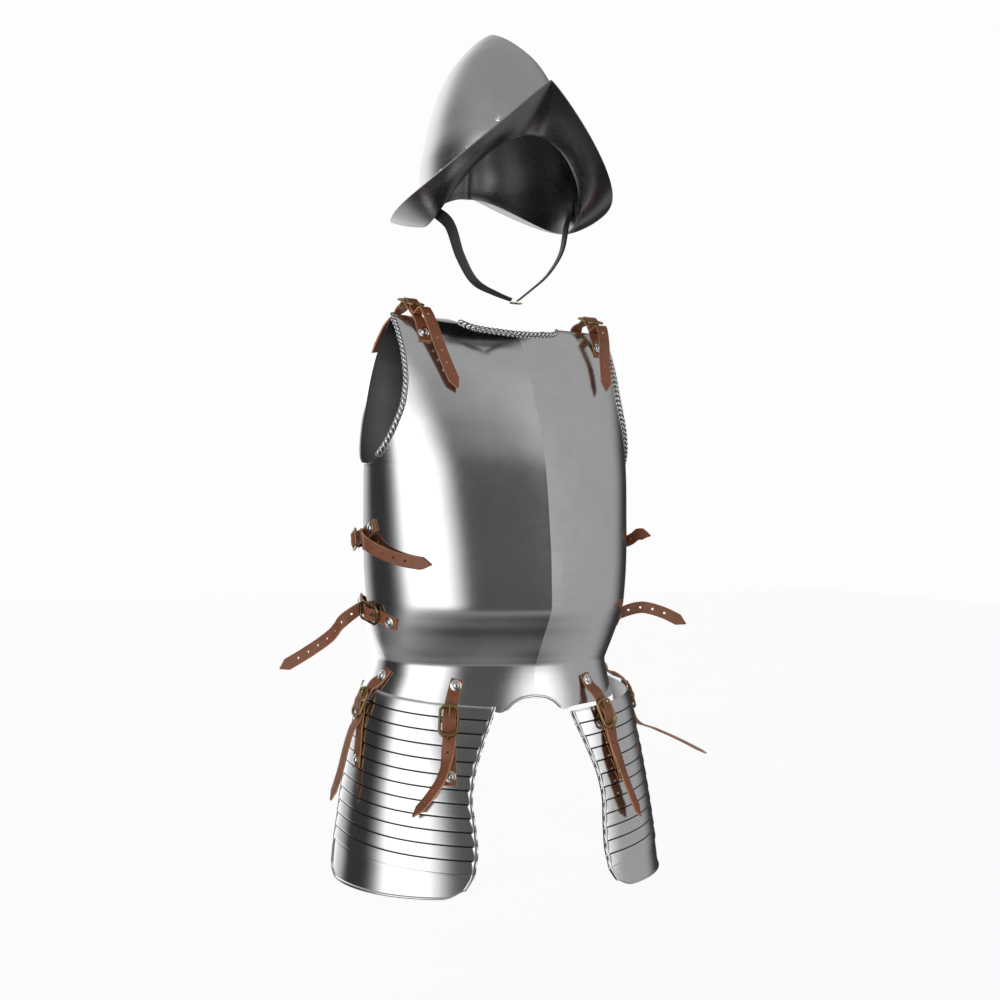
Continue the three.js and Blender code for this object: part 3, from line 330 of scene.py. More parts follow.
# Every strap: its side, its base, the base points of its buckle and rivets, the way
# across it and the free points that its tail hangs through.
STRAPS = {
    "shoulder_strap_right": {
        "side": -1, "base": SHOULDER_BASE, "buckle": 6, "rivets": (1, 8), "across": (1, 0, 0),
        "tail": [(-130, -44, 4), (-125, -60, -20), (-118, -70, -48), (-110, -79, -74), (-102, -86, -96)],
    },
    "shoulder_strap_left": {
        "side": 1, "base": SHOULDER_BASE, "buckle": 6, "rivets": (1, 8), "across": (1, 0, 0),
        "tail": [(131, -44, 3), (128, -58, -18), (124, -66, -42), (121, -74, -64), (117, -82, -86)],
    },
    "upper_side_strap_right": {
        "side": -1, "base": UPPER_SIDE_BASE, "buckle": 3, "rivets": (1, 5), "across": (0, 0, 1),
        "tail": [(-192, -26, -286), (-183, -49, -296), (-168, -75, -304), (-143, -104, -309)],
    },
    "upper_side_strap_left": {
        "side": 1, "base": UPPER_SIDE_BASE, "buckle": 3, "rivets": (1, 5), "across": (0, 0, 1),
        "tail": [(193, -24, -281), (191, -44, -277), (191, -60, -270), (198, -76, -272)],
    },
    "lower_side_strap_right": {
        "side": -1, "base": LOWER_SIDE_BASE[::-1], "buckle": 3, "rivets": (1, 6), "across": (0, 0, 1),
        "tail": [(-200, 16, -384), (-207, 34, -403), (-225, 62, -426), (-251, 94, -451)],
    },
    "lower_side_strap_left": {
        "side": 1, "base": LOWER_SIDE_BASE, "buckle": 4, "rivets": (1, 6), "across": (0, 0, 1),
        "tail": [(191, -47, -371), (201, -58, -368), (222, -76, -374), (246, -95, -388)],
    },
    "tasset_front_strap_right": {
        "side": -1, "base": TASSET_FRONT_BASE, "buckle": 4, "rivets": (1, 7), "across": (0.25, -0.97, 0),
        "tail": [(-117, -113, -525), (-121, -117, -542), (-130, -122, -560), (-145, -122, -580),
                 (-165, -119, -602)],
    },
    "tasset_side_strap_right": {
        "side": -1, "base": TASSET_SIDE_BASE, "buckle": 4, "rivets": (1, 8), "across": (0, 1, 0),
        "tail": [(-190, 2, -515), (-198, 0, -536), (-208, -4, -568), (-219, -4, -601)],
    },
    "tasset_front_strap_left": {
        "side": 1, "base": LEFT_TASSET_FRONT_BASE, "buckle": 4, "rivets": (1, 7), "across": (0.86, 0.5, 0),
        "tail": [(112, -127.5, -534), (117, -133, -554), (125, -138, -578), (134, -142, -602),
                 (144, -144, -624)],
    },
    "tasset_side_strap_left": {
        "side": 1, "base": TASSET_SIDE_BASE, "buckle": 4, "rivets": (1, 8), "across": (0, 1, 0),
        "tail": [(212, -36, -524), (236, -44, -534), (270, -53, -549), (312, -62, -570)],
    },
}

# The photograph's view: the camera's turn, roll and distance, and where it aims.
CAMERA_TURN = -30
CAMERA_ROLL = 1.5
CAMERA_AIM = (9, -230)
SENSOR_WIDTH = 36

# The studio's even grey, and its plain soft lights and dark sides by direction: turn from the front, half
# width, softness, elevation, half height, softness (degrees) and grey, laid in this order.
STUDIO_BASE = (0.42, 0.42, 0.42, 1)
STUDIO_COLUMNS = ("turn", "half_width", "turn_soft", "elevation", "half_height", "rise_soft", "grey")
STUDIO_LIGHTS = {
    "dark below": (0, 180, 1, -70, 27, 15, 0.04),
    "dark room in front": (0, 25, 15, 0, 35, 15, 0.1),
    "left soft light": (-60, 30, 15, 5, 25, 15, 1.7),
    "right strip light": (35, 10, 10, 5, 30, 15, 1.5),
    "dark left side": (-130, 30, 15, 0, 30, 15, 0.04),
    "dark right side": (130, 30, 15, 0, 30, 15, 0.04),
    "rear soft light": (180, 25, 15, 5, 35, 15, 1.4),
}


def make_table(columns, rows):
    """Rows of numbers whose columns are read by name, smoothly between the rows."""
    keys = np.array([row[0] for row in rows], float)
    steps = np.diff(keys)
    curves = {}
    for place, name in enumerate(columns[1:], 1):
        values = np.array([row[place] for row in rows], float)
        rises = np.diff(values) / steps
        slopes = np.zeros(len(keys))
        for k in range(1, len(keys) - 1):
            if rises[k - 1] * rises[k] > 0:
                wide = 2 * steps[k] + steps[k - 1]
                narrow = steps[k] + 2 * steps[k - 1]
                slopes[k] = (wide + narrow) / (wide / rises[k - 1] + narrow / rises[k])
        slopes[0], slopes[-1] = rises[0], rises[-1]
        curves[name] = (keys, values, slopes)
    return curves


def read(curves, name, key):
    """The smooth value of a table's column at a key or an array of keys."""
    keys, values, slopes = curves[name]
    at = np.clip(np.asarray(key, float), keys[0], keys[-1])
    k = np.clip(np.searchsorted(keys, at, side="right") - 1, 0, len(keys) - 2)
    span = keys[k + 1] - keys[k]
    t = (at - keys[k]) / span
    return (
        values[k] * (1 + 2 * t) * (1 - t) ** 2
        + span * slopes[k] * t * (1 - t) ** 2
        + values[k + 1] * t * t * (3 - 2 * t)
        + span * slopes[k + 1] * t * t * (t - 1)
    )


BODY = make_table(BODY_COLUMNS, BODY_ROWS)
ARMHOLE = make_table(ARMHOLE_COLUMNS, ARMHOLE_ROWS)
SIDE_EDGE = make_table(SIDE_EDGE_COLUMNS, SIDE_EDGE_ROWS)
NECK_EDGE = make_table(EDGE_COLUMNS, NECK_EDGE_ROWS)
HEM_EDGE = make_table(EDGE_COLUMNS, HEM_EDGE_ROWS)
TASSET_EDGE = make_table(TASSET_EDGE_COLUMNS, TASSET_EDGE_ROWS)
SKULL = make_table(SKULL_COLUMNS, SKULL_ROWS)


def blend(start, end, share):
    return start + (end - start) * share


def unit(vectors):
    """Vectors scaled to length one."""
    return vectors / np.linalg.norm(vectors, axis=-1, keepdims=True)


def body_section(turn):
    """How far across and forward the unit superellipse lies at an angle from the front."""
    across, forward = np.sin(turn), np.cos(turn)
    reach = (np.abs(across) ** BODY_FULLNESS + np.abs(forward) ** BODY_FULLNESS) ** (-1 / BODY_FULLNESS)
    return across * reach, forward * reach


def turn_of_share(share):
    """The angle at which a section lies a given share of its half width across."""
    part = np.minimum(np.abs(share), 0.999999) ** BODY_FULLNESS
    return np.sign(share) * np.arctan((part / (1 - part)) ** (1 / BODY_FULLNESS))


def body_point(turn, height, outside=0.0):
    """Points on the body line, or a distance outside it."""
    turn, height = np.broadcast_arrays(np.asarray(turn, float), np.asarray(height, float))
    across, forward = body_section(turn)
    x = (read(BODY, "half_width", height) + outside) * across
    facing = forward > 0
    depth = np.where(facing, read(BODY, "front", height), read(BODY, "back", height)) + outside
    nearness = np.clip(1 - np.abs(x) / RIDGE_REACH, 0, 1)
    ridge = np.where(facing, read(BODY, "ridge", height) * nearness ** RIDGE_POWER, 0)
    return np.stack([x, -depth * forward - ridge, height], -1)


def edge_turn(kind, height):
    """The plate's edge angle at a height, where the armhole or the side seam cuts it."""
    side = np.radians(read(SIDE_EDGE, kind, height))
    if height <= UNDERARM_HEIGHT:
        return side
    armhole = turn_of_share(read(ARMHOLE, kind, height) / read(BODY, "half_width", height))
    return min(armhole, side) if kind == "breast" else math.pi - armhole


def body_row(kind, height, flange_share, shares, outside):
    """One row of a plate: its nominal height bends to the neck above and the hem below."""
    edge = edge_turn(kind, height)
    inside = np.radians(read(SIDE_EDGE, f"{kind}_inside", height))
    crowd = np.sign(shares) * np.abs(shares) ** EDGE_COLUMN_POWER
    if kind == "breast":
        turn = shares * inside + crowd * (edge - inside)
    else:
        turn = math.pi + shares * (math.pi - inside) - crowd * (edge - inside)
    bent = np.full(len(shares), float(height))
    for _ in range(4):
        across = np.abs(read(BODY, "half_width", bent) * body_section(turn)[0])
        if flange_share is None:
            rise = (height - WAIST_HEIGHT) / (SHOULDER_HEIGHT - WAIST_HEIGHT)
            bent = blend(WAIST_HEIGHT, read(NECK_EDGE, kind, across), rise)
        else:
            bent = blend(read(HEM_EDGE, kind, across), WAIST_HEIGHT, flange_share)
    return body_point(turn, bent, outside)


def body_rows(kind, shares, outside, flange_count, rise_steps):
    """A plate's rows from its hem up, close together where rise_steps asks."""
    heights = [WAIST_HEIGHT]
    for top, step in rise_steps:
        count = max(1, round((top - heights[-1]) / step))
        heights += [heights[-1] + (top - heights[-1]) * (k + 1) / count for k in range(count)]
    flange = [body_row(kind, WAIST_HEIGHT, k / flange_count, shares, outside) for k in range(flange_count)]
    return np.array(flange + [body_row(kind, height, None, shares, outside) for height in heights])


def sheet_normals(rows, looped=False):
    """Outward directions of a sheet whose rows run upward and whose columns run leftward."""
    if looped:
        along = np.roll(rows, -1, 1) - np.roll(rows, 1, 1)
    else:
        along = np.gradient(rows, axis=1)
    return unit(np.cross(along, np.gradient(rows, axis=0)))


def shell(rows, wall, relief=0.0, looped=False, apex=None):
    """Points and faces of a plate, with 1 for each face that is inside it and 2 for each edge."""
    normals = sheet_normals(rows, looped)
    outer = rows + normals * np.broadcast_to(relief, rows.shape[:2])[..., None]
    inner = rows - normals * wall
    height, count = rows.shape[:2]
    points = [outer.reshape(-1, 3), inner.reshape(-1, 3)]

    def place(side, j, i):
        return side * height * count + j * count + i % count

    def quads(*corners):
        return np.stack([place(*corner) for corner in corners], -1).reshape(-1, 4)

    spans = count if looped else count - 1
    j, i = np.meshgrid(np.arange(height - 1), np.arange(spans), indexing="ij")
    faces = [quads((0, j, i), (0, j, i + 1), (0, j + 1, i + 1), (0, j + 1, i))]
    faces.append(quads((1, j, i), (1, j + 1, i), (1, j + 1, i + 1), (1, j, i + 1)))
    i, top = np.arange(spans), height - 1
    faces.append(quads((1, 0, i), (1, 0, i + 1), (0, 0, i + 1), (0, 0, i)))
    if apex is None:
        faces.append(quads((0, top, i), (0, top, i + 1), (1, top, i + 1), (1, top, i)))
    if not looped:
        j, end = np.arange(height - 1), count - 1
        faces.append(quads((1, j, 0), (0, j, 0), (0, j + 1, 0), (1, j + 1, 0)))
        faces.append(quads((0, j, end), (1, j, end), (1, j + 1, end), (0, j + 1, end)))
    kinds = [0, 1] + [2] * (len(faces) - 2)
    marks = np.concatenate([np.full(len(part), kind) for part, kind in zip(faces, kinds)])
    faces = np.concatenate(faces).tolist()
    if apex is not None:
        tips = 2 * height * count
        points.append(np.array([apex, apex - np.array([0, 0, 3 * wall])]))
        i = np.arange(spans)
        faces += np.stack([place(0, top, i), place(0, top, i + 1), np.full(spans, tips)], -1).tolist()
        faces += np.stack([place(1, top, i + 1), place(1, top, i), np.full(spans, tips + 1)], -1).tolist()
        marks = np.concatenate([marks, np.zeros(spans, int), np.ones(spans, int)])
    return np.concatenate(points), faces, marks


def swept(rings, closed_ends=True):
    """Points and faces that join rings of points into one body."""
    count, sides = rings.shape[:2]
    j, i = np.meshgrid(np.arange(count - 1), np.arange(sides), indexing="ij")
    nxt = (i + 1) % sides
    faces = np.stack([j * sides + i, j * sides + nxt, (j + 1) * sides + nxt, (j + 1) * sides + i], -1)
    faces = faces.reshape(-1, 4).tolist()
    if closed_ends:
        faces.append(list(range(sides))[::-1])
        faces.append([(count - 1) * sides + k for k in range(sides)])
    return rings.reshape(-1, 3), faces


def signed_volume(points, faces):
    """Six times the volume that the faces enclose, positive when they face outward."""
    total = 0.0
    for face in faces:
        a = points[face[0]]
        for b, c in zip(face[1:], face[2:]):
            total += float(np.dot(a, np.cross(points[b], points[c])))
    return total


def facing_out(points, faces):
    """A closed body's faces, turned outward."""
    return [face[::-1] for face in faces] if signed_volume(points, faces) < 0 else faces


def add_piece(name, points, faces, materials, replaced, marks=None, crease=None, angle=FACET_ANGLE):
    """Makes an object of points in millimetres, gives it its finish and seats it on the body."""
    mesh = bpy.data.meshes.new(name)
    mesh.from_pydata((np.asarray(points) * MM).tolist(), [], faces)
    for material in materials:
        mesh.materials.append(material)
    if marks is not None:
        mesh.polygons.foreach_set("material_index", np.minimum(marks, len(materials) - 1).astype(np.int32))
    mesh.polygons.foreach_set("use_smooth", np.ones(len(mesh.polygons), bool))
    mesh.set_sharp_from_angle(angle=math.radians(angle))
    if crease is not None:
        mark_crease(mesh, crease)
    piece = bpy.data.objects.new(name, mesh)
    bpy.context.scene.collection.objects.link(piece)
    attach(piece, BODY_NAME)
    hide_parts(*replaced)
    return piece


def mark_crease(mesh, crease):
    """Marks as sharp each edge that runs between two of the crease's points."""
    ends = np.zeros(len(mesh.edges) * 2, np.int32)
    mesh.edges.foreach_get("vertices", ends)
    on_crease = np.isin(ends.reshape(-1, 2), crease).all(1)
    attribute = mesh.attributes.get("sharp_edge") or mesh.attributes.new("sharp_edge", "BOOLEAN", "EDGE")
    sharp = np.zeros(len(mesh.edges), bool)
    attribute.data.foreach_get("value", sharp)
    attribute.data.foreach_set("value", sharp | on_crease)


def merge_bodies(bodies):
    """One list of points, faces and marks out of several bodies."""
    points, faces, marks = [], [], []
    start = 0
    for body_points, body_faces, body_marks in bodies:
        points.append(np.asarray(body_points))
        faces += [[corner + start for corner in face] for face in body_faces]
        marks.append(np.broadcast_to(body_marks, len(body_faces)))
        start += len(body_points)
    return np.concatenate(points), faces, np.concatenate(marks)


class Path:
    """A smooth curve through knots, measured along its length."""

    def __init__(self, knots, samples=20):
        knots = np.asarray(knots, float)
        ends = np.vstack([2 * knots[0] - knots[1], knots, 2 * knots[-1] - knots[-2]])
        gaps = np.maximum(np.linalg.norm(np.diff(ends, axis=0), axis=1) ** 0.5, 1e-4)
        points = []
        for k in range(1, len(ends) - 2):
            a, b, c, d = ends[k - 1:k + 3]
            before, here, after = gaps[k - 1:k + 2]
            leave = here * ((b - a) / before - (c - a) / (before + here) + (c - b) / here)
            arrive = here * ((c - b) / here - (d - b) / (here + after) + (d - c) / after)
            t = np.linspace(0, 1, samples, endpoint=False)[:, None]
            square = -3 * b + 3 * c - 2 * leave - arrive
            points.append(b + leave * t + square * t ** 2 + (2 * b - 2 * c + leave + arrive) * t ** 3)
        self.points = np.vstack([*points, knots[-1:]])
        self.samples = samples
        steps = np.linalg.norm(np.diff(self.points, axis=0), axis=1)
        self.lengths = np.concatenate([[0], np.cumsum(steps)])
        self.length = self.lengths[-1]

    def at(self, distance):
        """The points at one distance or an array of distances."""
        clipped = np.clip(distance, 0, self.length)
        return np.stack([np.interp(clipped, self.lengths, self.points[:, axis]) for axis in range(3)], -1)

    def along(self, distance, reach=0.6):
        after = self.at(np.minimum(distance + reach, self.length))
        return unit(after - self.at(np.maximum(distance - reach, 0)))

    def knot(self, distance):
        """The place among the knots, with its share between two of them."""
        return np.interp(distance, self.lengths, np.arange(len(self.points)) / self.samples)

    def distance_to(self, index):
        return self.lengths[int(index * self.samples)]


def rotation(axis, angle):
    return np.array(Matrix.Rotation(math.radians(angle), 3, axis))


def tasset_frame(tasset):
    """The turn and shift that hang a tasset from its upper inner corner."""
    inner, _rear = tasset_edges(TASSET_TOP)
    corner = body_point(inner, TASSET_TOP, tasset_stand_off()) * np.array([tasset["side"], 1, 1])
    side = tasset["side"]
    turn = rotation("Z", side * tasset["twist"]) @ rotation("Y", side * tasset["tilt"])
    return turn, corner - turn @ corner - np.array([0, 0, tasset["drop"]])


def tasset_stand_off():
    return bpy.context.scene.armour_sizes.plate_wall / MM + TASSET_GAP


def tasset_edges(height):
    """The angles of a tasset's inner edge and its rear edge at a height."""
    inner = turn_of_share(read(TASSET_EDGE, "inner", height) / read(BODY, "half_width", height))
    return inner, np.radians(read(TASSET_EDGE, "rear", height))


def place_tasset(points, tasset):
    turn, shift = tasset_frame(tasset)
    return points @ turn.T + shift


def base_knot(entry, side):
    """The place on a plate's outer face that a base point names, and the way out from it."""
    surface, first, second = entry[:3]
    if surface == "free":
        return np.array([side * first, second, entry[3]], float), np.array([0.0, 0, 1])
    wall = bpy.context.scene.armour_sizes.plate_wall / MM
    outside = {"back": -wall - SIDE_LAP_GAP, "tasset": tasset_stand_off() + LAME_STEP}.get(surface, 0)
    turn = math.radians(side * first)
    point = body_point(turn, second, outside)
    normal = unit(np.cross(body_point(turn + 0.01, second, outside) - point,
                           body_point(turn, second + 1, outside) - point))
    if surface == "tasset":
        hang, shift = tasset_frame(TASSETS["tasset_right" if side < 0 else "tasset_left"])
        return hang @ point + shift, hang @ normal
    return point, normal


class StrapBase:
    """The curve under a strap, measured from its buckle."""

    def __init__(self, strap):
        knots = [base_knot(entry, strap["side"]) for entry in strap["base"]]
        self.path = Path([point for point, _normal in knots])
        self.normals = np.array([normal for _point, normal in knots])
        self.origin = self.path.distance_to(strap["buckle"])
        self.start = -self.origin
        self.end = self.path.length - self.origin

    def distance_to(self, index):
        return self.path.distance_to(index) - self.origin

    def frame(self, distance):
        """The point, the way along, the way up and the way across at a distance."""
        at = distance + self.origin
        along = self.path.along(np.clip(at, 0, self.path.length))
        knot = self.path.knot(at)
        low = min(int(knot), len(self.normals) - 2)
        normal = blend(self.normals[low], self.normals[low + 1], knot - low)
        up = unit(normal - along * np.dot(normal, along))
        return self.path.at(at), along, up, np.cross(along, up)

    def chord(self, distance, reach):
        """The frame of a straight stretch that reaches to both sides of a distance."""
        before, after = (self.frame(distance + step)[0] for step in (-reach, reach))
        along = unit(after - before)
        up = self.frame(distance)[2]
        up = unit(up - along * np.dot(up, along))
        return (before + after) / 2, along, up, np.cross(along, up)


def strap_rest(sizes):
    return STRAP_SEAT_GAP + sizes.strap_thickness / MM / 2


# Distances along from a buckle's middle, and how high a strap's middle runs there: the billet
# threads the frame and lies over the bar, and the buckle strap hangs on the bar.
THREADING_START = -22
THREADING = [(-3, 9.4), (3, 9.4), (14.5, 4.3), (20, 4.9)]
BAR_HOLD = [(-1.5, 2.9), (3, 2.9)]
BUCKLE_STRAP_REST = 11
BUCKLE_STRAP_RESTING = 21


def threading(sizes):
    """The heights of a billet's middle in its buckle, by distance along."""
    rest = strap_rest(sizes)
    return [(THREADING_START, rest), (-14.5, rest + 0.1), *THREADING]


def resting(base, start, finish, rivet, rest):
    """Stations resting on the base, with a flat place for a rivet."""
    _point, _along, up, sideways = base.chord(rivet, RIVET_SEAT_REACH)
    ends = (rivet - RIVET_SEAT_REACH, rivet + RIVET_SEAT_REACH)
    flat = [(base.frame(end)[0] + up * rest, sideways) for end in ends]

    def run(first, last):
        count = max(1, round(abs(last - first) / STRAP_STEP))
        return [station(base, blend(first, last, (k + 1) / count), rest) for k in range(count)]

    before = run(rivet - RIVET_SEAT_REACH, start)[::-1]
    return before + flat + run(rivet + RIVET_SEAT_REACH, finish)


def station(base, distance, lift):
    point, _along, up, sideways = base.frame(distance)
    return point + up * lift, sideways


def tail(threaded, strap):
    """Stations past the buckle, turning to the way across that the strap names."""
    knots = [point for point, _across in threaded[-2:]] + [np.array(point, float) for point in strap["tail"]]
    path = Path(knots)
    skipped = np.linalg.norm(knots[1] - knots[0]) + STRAP_STEP / 2
    count = round((path.length - skipped) / STRAP_STEP)
    start = threaded[-1][1]
    end = np.array(strap["across"], float)
    if np.dot(end, start) < 0:
        end = -end
    return [
        (path.at(blend(skipped, path.length, k / count)), blend(start, end, min(1, k / TAIL_TURN_STEPS)))
        for k in range(count + 1)
    ]


# Points round a strap's section, as shares of its half width and half thickness.
STRAP_SECTION = [
    (-1, -0.45), (-0.975, -0.85), (-0.93, -1), (-0.5, -1), (0, -1), (0.5, -1), (0.93, -1), (0.975, -0.85),
    (1, -0.45), (1, 0.45), (0.975, 0.85), (0.93, 0.96), (0.8, 0.9), (0.5, 1), (0, 1.03), (-0.5, 1),
    (-0.8, 0.9), (-0.93, 0.96), (-0.975, 0.85), (-1, 0.45),
]
STRAP_EDGE_SIDES = (0, 1, 7, 8, 9, 10, 18, 19)
STRAP_FINE_STEP = 1.6
STRAP_POINT_WIDTH = 0.08
PUNCH_DEPTH = 4
PUNCH_SIDES = 14
HOLES_AT_MOST = 40
HOLE_SETBACK = 8


def ribbon(stations, width, thickness, end_width=None, tip=False):
    """A flat strap with softened edges through its stations: points, faces and marks."""
    path = Path([point for point, _across in stations], samples=12)
    acrosses = np.array([across for _point, across in stations])
    distances = np.linspace(0, path.length, max(8, round(path.length / STRAP_FINE_STEP)))
    if tip:
        distances = np.concatenate([distances[distances < path.length - STRAP_TIP - 1],
                                    path.length - STRAP_TIP * np.array([1, 0.7, 0.4, 0.18, 0.05, 0])])
    points = path.at(distances)
    along = path.along(distances)
    knots = path.knot(distances)
    low = np.minimum(knots.astype(int), len(acrosses) - 2)
    across = blend(acrosses[low], acrosses[low + 1], (knots - low)[:, None])
    across = unit(across - along * np.sum(across * along, -1, keepdims=True))
    upward = np.cross(along, across)
    widths = blend(width, width if end_width is None else end_width, distances / path.length)
    left = np.clip((path.length - distances) / STRAP_TIP, 0, 1)
    if tip:
        widths = widths * blend(STRAP_POINT_WIDTH, 1, left)
    section = np.array(STRAP_SECTION)
    rings = (
        points[:, None]
        + across[:, None] * (section[:, 0] * widths[:, None] / 2)[..., None]
        + upward[:, None] * (section[:, 1] * thickness / 2)[None, :, None]
    )
    points, faces = swept(rings)
    sides = np.arange(len(faces) - 2) % len(section)
    marks = np.concatenate([np.isin(sides, STRAP_EDGE_SIDES), [True, True]]).astype(int)
    return points, facing_out(points, faces), marks, path


def strap_hole_places(path, base, sizes):
    """Distances along a billet where its holes are punched, in the buckle and down the tail."""
    spacing = sizes.hole_spacing / MM
    buckle = -base.start - HOLE_SETBACK
    places = [buckle + spacing * k for k in range(2, HOLES_AT_MOST)]
    return [place for place in places if place < path.length - STRAP_TIP - spacing * 0.55]


def punch_holes(piece, places, path, acrosses, sizes):
    """Cuts round holes through a strap at distances along its path."""
    radius = sizes.hole_radius / MM
    ring = np.linspace(0, 2 * math.pi, PUNCH_SIDES, endpoint=False)
    bodies = []
    for place in places:
        middle = path.at(place)
        along = path.along(place)
        knot = path.knot(place)
        low = min(int(knot), len(acrosses) - 2)
        across = blend(acrosses[low], acrosses[low + 1], knot - low)
        across = unit(across - along * np.dot(across, along))
        up = np.cross(along, across)
        circle = np.cos(ring)[:, None] * along + np.sin(ring)[:, None] * across
        rings = np.array([middle + circle * radius + up * depth for depth in (-PUNCH_DEPTH, PUNCH_DEPTH)])
        points, faces = swept(rings)
        bodies.append((points, facing_out(points - middle, faces), 0))
    points, faces, _marks = merge_bodies(bodies)
    mesh = bpy.data.meshes.new("hole_punch")
    mesh.from_pydata((points * MM).tolist(), [], faces)
    mesh.materials.append(piece.data.materials[1])
    cutter = bpy.data.objects.new("hole_punch", mesh)
    bpy.context.scene.collection.objects.link(cutter)
    cut = piece.modifiers.new("holes", "BOOLEAN")
    cut.operation = "DIFFERENCE"
    cut.solver = "EXACT"
    cut.object = cutter
    bpy.context.view_layer.update()
    graph = bpy.context.evaluated_depsgraph_get()
    result = bpy.data.meshes.new_from_object(piece.evaluated_get(graph))
    piece.modifiers.clear()
    piece.data = result
    result.set_sharp_from_angle(angle=math.radians(FACET_ANGLE))
    bpy.data.objects.remove(cutter)
    bpy.data.meshes.remove(mesh)


# The profile of a rivet on its washer, as radius and height in millimetres.
RIVET_PROFILE = [
    (WASHER_RADIUS - 0.1, 0), (WASHER_RADIUS, 0.25), (WASHER_RADIUS - 0.15, 0.6), (WASHER_RADIUS - 0.8, 0.85),
    (WASHER_RADIUS - 1.4, 1.15), (RIVET_RADIUS + 0.5, 1.25), (RIVET_RADIUS + 0.15, 1.05), (RIVET_RADIUS, 1.1),
    (0.97 * RIVET_RADIUS, 1.6), (0.87 * RIVET_RADIUS, 2.3), (0.68 * RIVET_RADIUS, 2.9),
    (0.4 * RIVET_RADIUS, 3.28), (0.12 * RIVET_RADIUS, RIVET_HEIGHT),
]
RIVET_SIDES = 28


def rivet_body(scale=1.0):
    """A round-headed rivet on its washer, standing on the level z = 0."""
    turns = np.linspace(0, 2 * math.pi, RIVET_SIDES, endpoint=False)
    rings = np.array([
        np.stack([radius * np.cos(turns), radius * np.sin(turns), np.full(RIVET_SIDES, height)], -1)
        for radius, height in RIVET_PROFILE
    ])
    return swept(rings * scale)


def buckle_outline(half_width, half_length, corner):
    w, l, c = half_width, half_length, corner
    right = [(w, c - l), (w, l - c), (w - c, l)]
    left = [(c - w, l), (-w, l - c), (-w, c - l)]
    return [*right, *left, (c - w, -l), (w - c, -l)]


# Points round the section of a buckle's frame, as shares of its width and half thickness.
FRAME_SECTION = [
    (0.12, -1), (0.88, -1), (1, -0.6), (1, 0.35), (0.8, 0.95), (0.5, 1.1), (0.2, 0.95), (0, 0.35), (0, -0.6),
]
PRONG_SIDES = 12


def buckle_bodies():
    """An eight-sided buckle frame with its bar, prong and end knobs, centred on its own frame."""
    outer = np.array(buckle_outline(BUCKLE_WIDTH / 2, BUCKLE_LENGTH / 2, BUCKLE_CORNER))
    inner = np.array(buckle_outline(BUCKLE_OPENING / 2, BUCKLE_LENGTH / 2 - BUCKLE_BAR, BUCKLE_CORNER * 0.55))
    rings = []
    for k in range(len(outer)):
        for share in (0.08, 0.5, 0.92):
            out = blend(outer[k], outer[(k + 1) % len(outer)], share)
            within = blend(inner[k], inner[(k + 1) % len(inner)], share)
            ring = [[*blend(within, out, u), v * BUCKLE_THICKNESS / 2] for u, v in FRAME_SECTION]
            rings.append(ring)
    points, faces = swept(np.array(rings + rings[:1]), closed_ends=False)
    count, sides = len(rings), len(FRAME_SECTION)
    points = points[:-sides]
    faces = [[corner % (count * sides) for corner in face] for face in faces]
    bodies = [(points, faces)]
    reach = BUCKLE_OPENING / 2 + 1
    bodies.append(tube([(-reach, 0, 0), (reach, 0, 0)], [1.45, 1.45], (0, 1, 0)))
    wrap = [(x, 0, 0) for x in (-2.1, -1.7, 1.7, 2.1)]
    bodies.append(tube(wrap, [1.7, 2.15, 2.15, 1.7], (0, 1, 0)))
    tip = -BUCKLE_LENGTH / 2
    prong = [
        (0, 0.5, 1.5), (0, -3, 1.95), (0, -9, 2.0),
        (0, tip + 5, 2.2), (0, tip + 1.5, 2.35), (0, tip - 0.4, 2.0),
    ]
    bodies.append(tube(prong, [1.35, 1.3, 1.2, 1.05, 0.95, 0.5], (1, 0, 0)))
    for end in (-1, 1):
        knob = [(0, end * (BUCKLE_LENGTH / 2 - 0.6), 0.2), (0, end * (BUCKLE_LENGTH / 2 + 0.5), 0.2),
                (0, end * (BUCKLE_LENGTH / 2 + 1.3), 0.2)]
        bodies.append(tube(knob, [1.7, 1.6, 0.7], (1, 0, 0)))
    return [(points, facing_out(points, faces), 0) for points, faces in bodies]


def tube(centres, radii, side):
    """A round bar of changing radius along a few points."""
    centres = np.array(centres, float)
    along = unit(np.gradient(centres, axis=0))
    u = np.array(side, float) - along * np.sum(along * np.array(side, float), -1, keepdims=True)
    u = unit(u)
    v = np.cross(along, u)
    turns = np.linspace(0, 2 * math.pi, PRONG_SIDES, endpoint=False)
    rings = np.array([
        centre + radius * (np.cos(turns)[:, None] * a + np.sin(turns)[:, None] * b)
        for centre, radius, a, b in zip(centres, radii, u, v)
    ])
    return swept(rings)


def seat(points, seat_frame, lift, slope=0.0):
    """Points set on a frame, lifted off it and tilted up along the strap."""
    point, along, up, sideways = seat_frame
    angle = math.atan(slope)
    tilted_along = along * math.cos(angle) + up * math.sin(angle)
    tilted_up = up * math.cos(angle) - along * math.sin(angle)
    turn = np.stack([sideways, tilted_along, tilted_up], 1)
    return np.asarray(points) @ turn.T + point + up * lift


